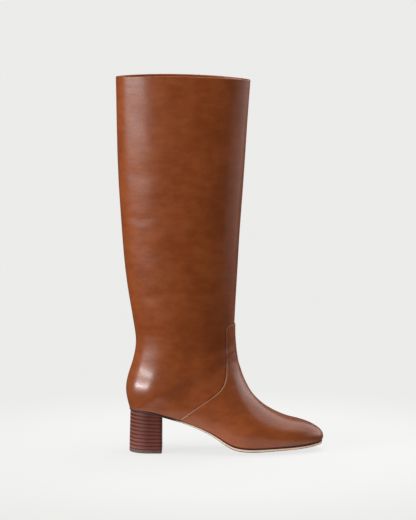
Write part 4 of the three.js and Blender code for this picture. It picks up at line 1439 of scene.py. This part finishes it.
def hang_light(name: str, place: Sequence[float], turn: Any, size: Range, radiance: float) -> None:
    """Adds a flat light.

    Args:
        name: Its name.
        place: Where its middle is.
        turn: Its rotation.
        size: Its width and height.
        radiance: How brightly it glows.
    """
    lamp = bpy.data.lights.new(name, "AREA")
    lamp.shape = "RECTANGLE"
    lamp.size, lamp.size_y = size
    lamp.energy = radiance * math.pi * size[0] * size[1]
    holder = add_object(name, lamp)
    holder.location, holder.rotation_euler = place, turn


@dataclass(frozen=True)
class SoftBox:
    """A flat light that hangs upright round the boot and faces it. Metres and degrees."""

    name: str
    azimuth: float  # round the boot from its outer side, positive towards the toe
    distance: float
    bottom: float
    top: float
    width: float
    radiance: float

    def hang(self) -> None:
        """Adds the light."""
        turn = math.radians(self.azimuth)
        x, y = AXIS_X + self.distance * math.sin(turn), -self.distance * math.cos(turn)
        place = (x, y, (self.bottom + self.top) / 2.0)
        size = (self.width, self.top - self.bottom)
        hang_light(self.name, place, (math.radians(90.0), 0.0, turn), size, self.radiance)


@dataclass
class Studio:
    """A pale floor, soft lights and the camera. Metres and degrees."""

    camera_place: Triple = (0.0774, -3.0, 0.575)
    camera_tilt: float = 83.58
    lens: float = 169.7
    sensor: float = 36.0
    floor_reach: float = 0.145
    floor_far: float = 120.0
    matte: float = 0.15
    matte_light: float = 0.09
    shade_from: float = 0.2
    shade_to: float = 0.5
    dim: float = 0.08
    overhead: float = 2.85
    overhead_height: float = 2.0
    overhead_size: float = 1.6
    toe_light: float = 1.3
    toe_light_place: Triple = (0.95, 0.42, 0.92)
    toe_light_size: float = 1.75
    toe: Triple = (0.2, 0.0, 0.03)

    SOFT_BOXES = (
        SoftBox("left_low_light", -58.0, 2.5, 0.12, 0.44, 2.5, 1.4),
        SoftBox("left_high_light", -56.0, 2.5, 0.5, 0.72, 2.0, 46.0),
        SoftBox("right_light", 93.0, 1.3, 0.005, 0.7, 1.55, 1.1),
    )

    def build(self) -> None:
        """Sets up the floor, the lights, the world and the camera."""
        self._floor()
        for box in self.SOFT_BOXES:
            box.hang()
        self._square_lights()
        self._world()
        self._camera()
        bpy.context.scene.view_settings.view_transform = "Standard"

    def _floor(self) -> None:
        """A round floor by the boot, and the floor beyond it, which doesn't show in the leather."""
        near = self._disc("floor", 0.0, self.floor_reach)
        far = self._disc("floor_beyond", self.floor_reach, self.floor_far)
        far.visible_glossy = False
        far.visible_diffuse = False
        finish = self._floor_finish()
        for disc in (near, far):
            disc.data.materials.append(finish)

    @staticmethod
    def _disc(name: str, inner: float, outer: float) -> bpy.types.Object:
        """A flat ring on the ground between two radii, in metres."""
        count = FLOOR_SIDES
        turns = np.linspace(0.0, 2.0 * np.pi, count + 1)[:-1]
        radii = (max(inner, FLOOR_HOLE), outer)
        vertices = [(FLOOR_X + r * math.cos(t), r * math.sin(t), 0.0) for r in radii for t in turns]
        faces = [(i, count + i, count + (i + 1) % count, (i + 1) % count) for i in range(count)]
        if inner == 0.0:
            faces.append(tuple(range(count)))
        mesh = bpy.data.meshes.new(name)
        mesh.from_pydata(vertices, [], faces)
        return add_object(name, mesh)

    def _floor_finish(self) -> bpy.types.Material:
        """A floor that glows evenly, with room for a faint shadow near the boot."""
        bench = Bench(bpy.data.materials.new("pale_floor"))
        spot = bench.node("ShaderNodeTexCoord", output="Object")
        centre = (FLOOR_X, 0.0, 0.0)
        away = bench.node("ShaderNodeVectorMath", {"operation": "DISTANCE"}, {0: spot, 1: centre}, "Value")
        near = 1.0 - bench.between(away, self.shade_from, self.shade_to)
        glow = bench.node("ShaderNodeEmission", {}, {"Color": PALE, "Strength": 1.0})
        dimmed = bench.node("ShaderNodeEmission", {}, {"Color": PALE, "Strength": 1.0 - self.matte_light / PALE[0]})
        matte = bench.node("ShaderNodeBsdfDiffuse", {}, {"Color": (self.matte, self.matte, self.matte)})
        shaded = bench.node("ShaderNodeAddShader", {}, {0: dimmed, 1: matte})
        bench.close(bench.node("ShaderNodeMixShader", {}, {0: near, 1: glow, 2: shaded}))
        return bench.owner

    def _square_lights(self) -> None:
        """A broad light above the boot, and one beyond its toe that faces the toe."""
        above = (FLOOR_X, 0.0, self.overhead_height)
        below = (above[0], above[1], 0.0)
        for name, place, target, size, radiance in (
            ("overhead_light", above, below, self.overhead_size, self.overhead),
            ("toe_light", self.toe_light_place, self.toe, self.toe_light_size, self.toe_light),
        ):
            turn = (Vector(target) - Vector(place)).to_track_quat("-Z", "Y").to_euler()
            hang_light(name, place, turn, (size, size), radiance)

    def _world(self) -> None:
        """Pale where the camera sees past the floor, and dim as a light."""
        bpy.context.scene.world = bpy.data.worlds.new("studio")
        bench = Bench(bpy.context.scene.world)
        seen = bench.node("ShaderNodeLightPath", output="Is Camera Ray")
        dim = bench.node("ShaderNodeBackground", {}, {"Color": (self.dim, self.dim, self.dim)})
        pale = bench.node("ShaderNodeBackground", {}, {"Color": PALE})
        bench.close(bench.node("ShaderNodeMixShader", {}, {0: seen, 1: dim, 2: pale}), "ShaderNodeOutputWorld")

    def _camera(self) -> None:
        """The camera, a little above the boot and square to its outer side."""
        data = bpy.data.cameras.new("camera")
        data.lens, data.sensor_width = self.lens, self.sensor
        data.clip_end = 400.0
        camera = add_object("camera", data)
        camera.location = self.camera_place
        camera.rotation_euler = (math.radians(self.camera_tilt), 0.0, 0.0)
        bpy.context.scene.camera = camera


def main() -> None:
    """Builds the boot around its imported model, piece by piece."""
    logging.basicConfig(level=logging.INFO, format="%(name)s: %(message)s")
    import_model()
    last = Last()
    calf, lining, sole_leather = CalfLeather().make(), LiningLeather().make(), SoleLeather().make()

    upper, upper_lining = Upper(last).build()
    finish_piece(upper, calf, "upper_leather", "upper")
    finish_piece(upper_lining, lining, "lining_leather")
    vamp, stitches = Vamp(last).build()
    finish_piece(vamp, calf, "upper_leather", "vamp")
    finish_piece(stitches, Thread().make(), "upper_leather")

    outsole = Outsole(last)
    finish_piece(outsole.build(), sole_leather, "sole_leather", "outsole")
    finish_piece(Insole(outsole).build(), lining, "lining_leather", "insole")
    wearing_lift, *lifts = StackedHeel(outsole).build()
    finish_piece(wearing_lift, HeelRubber().make(), "top_piece_rubber", "top_piece")
    stacked = StackedLeather().make()
    for number, lift in enumerate(lifts, start=1):
        finish_piece(lift, stacked, "heel_stack", f"heel_lift_{number:02d}")

    Studio().build()


if __name__ == "__main__":
    main()
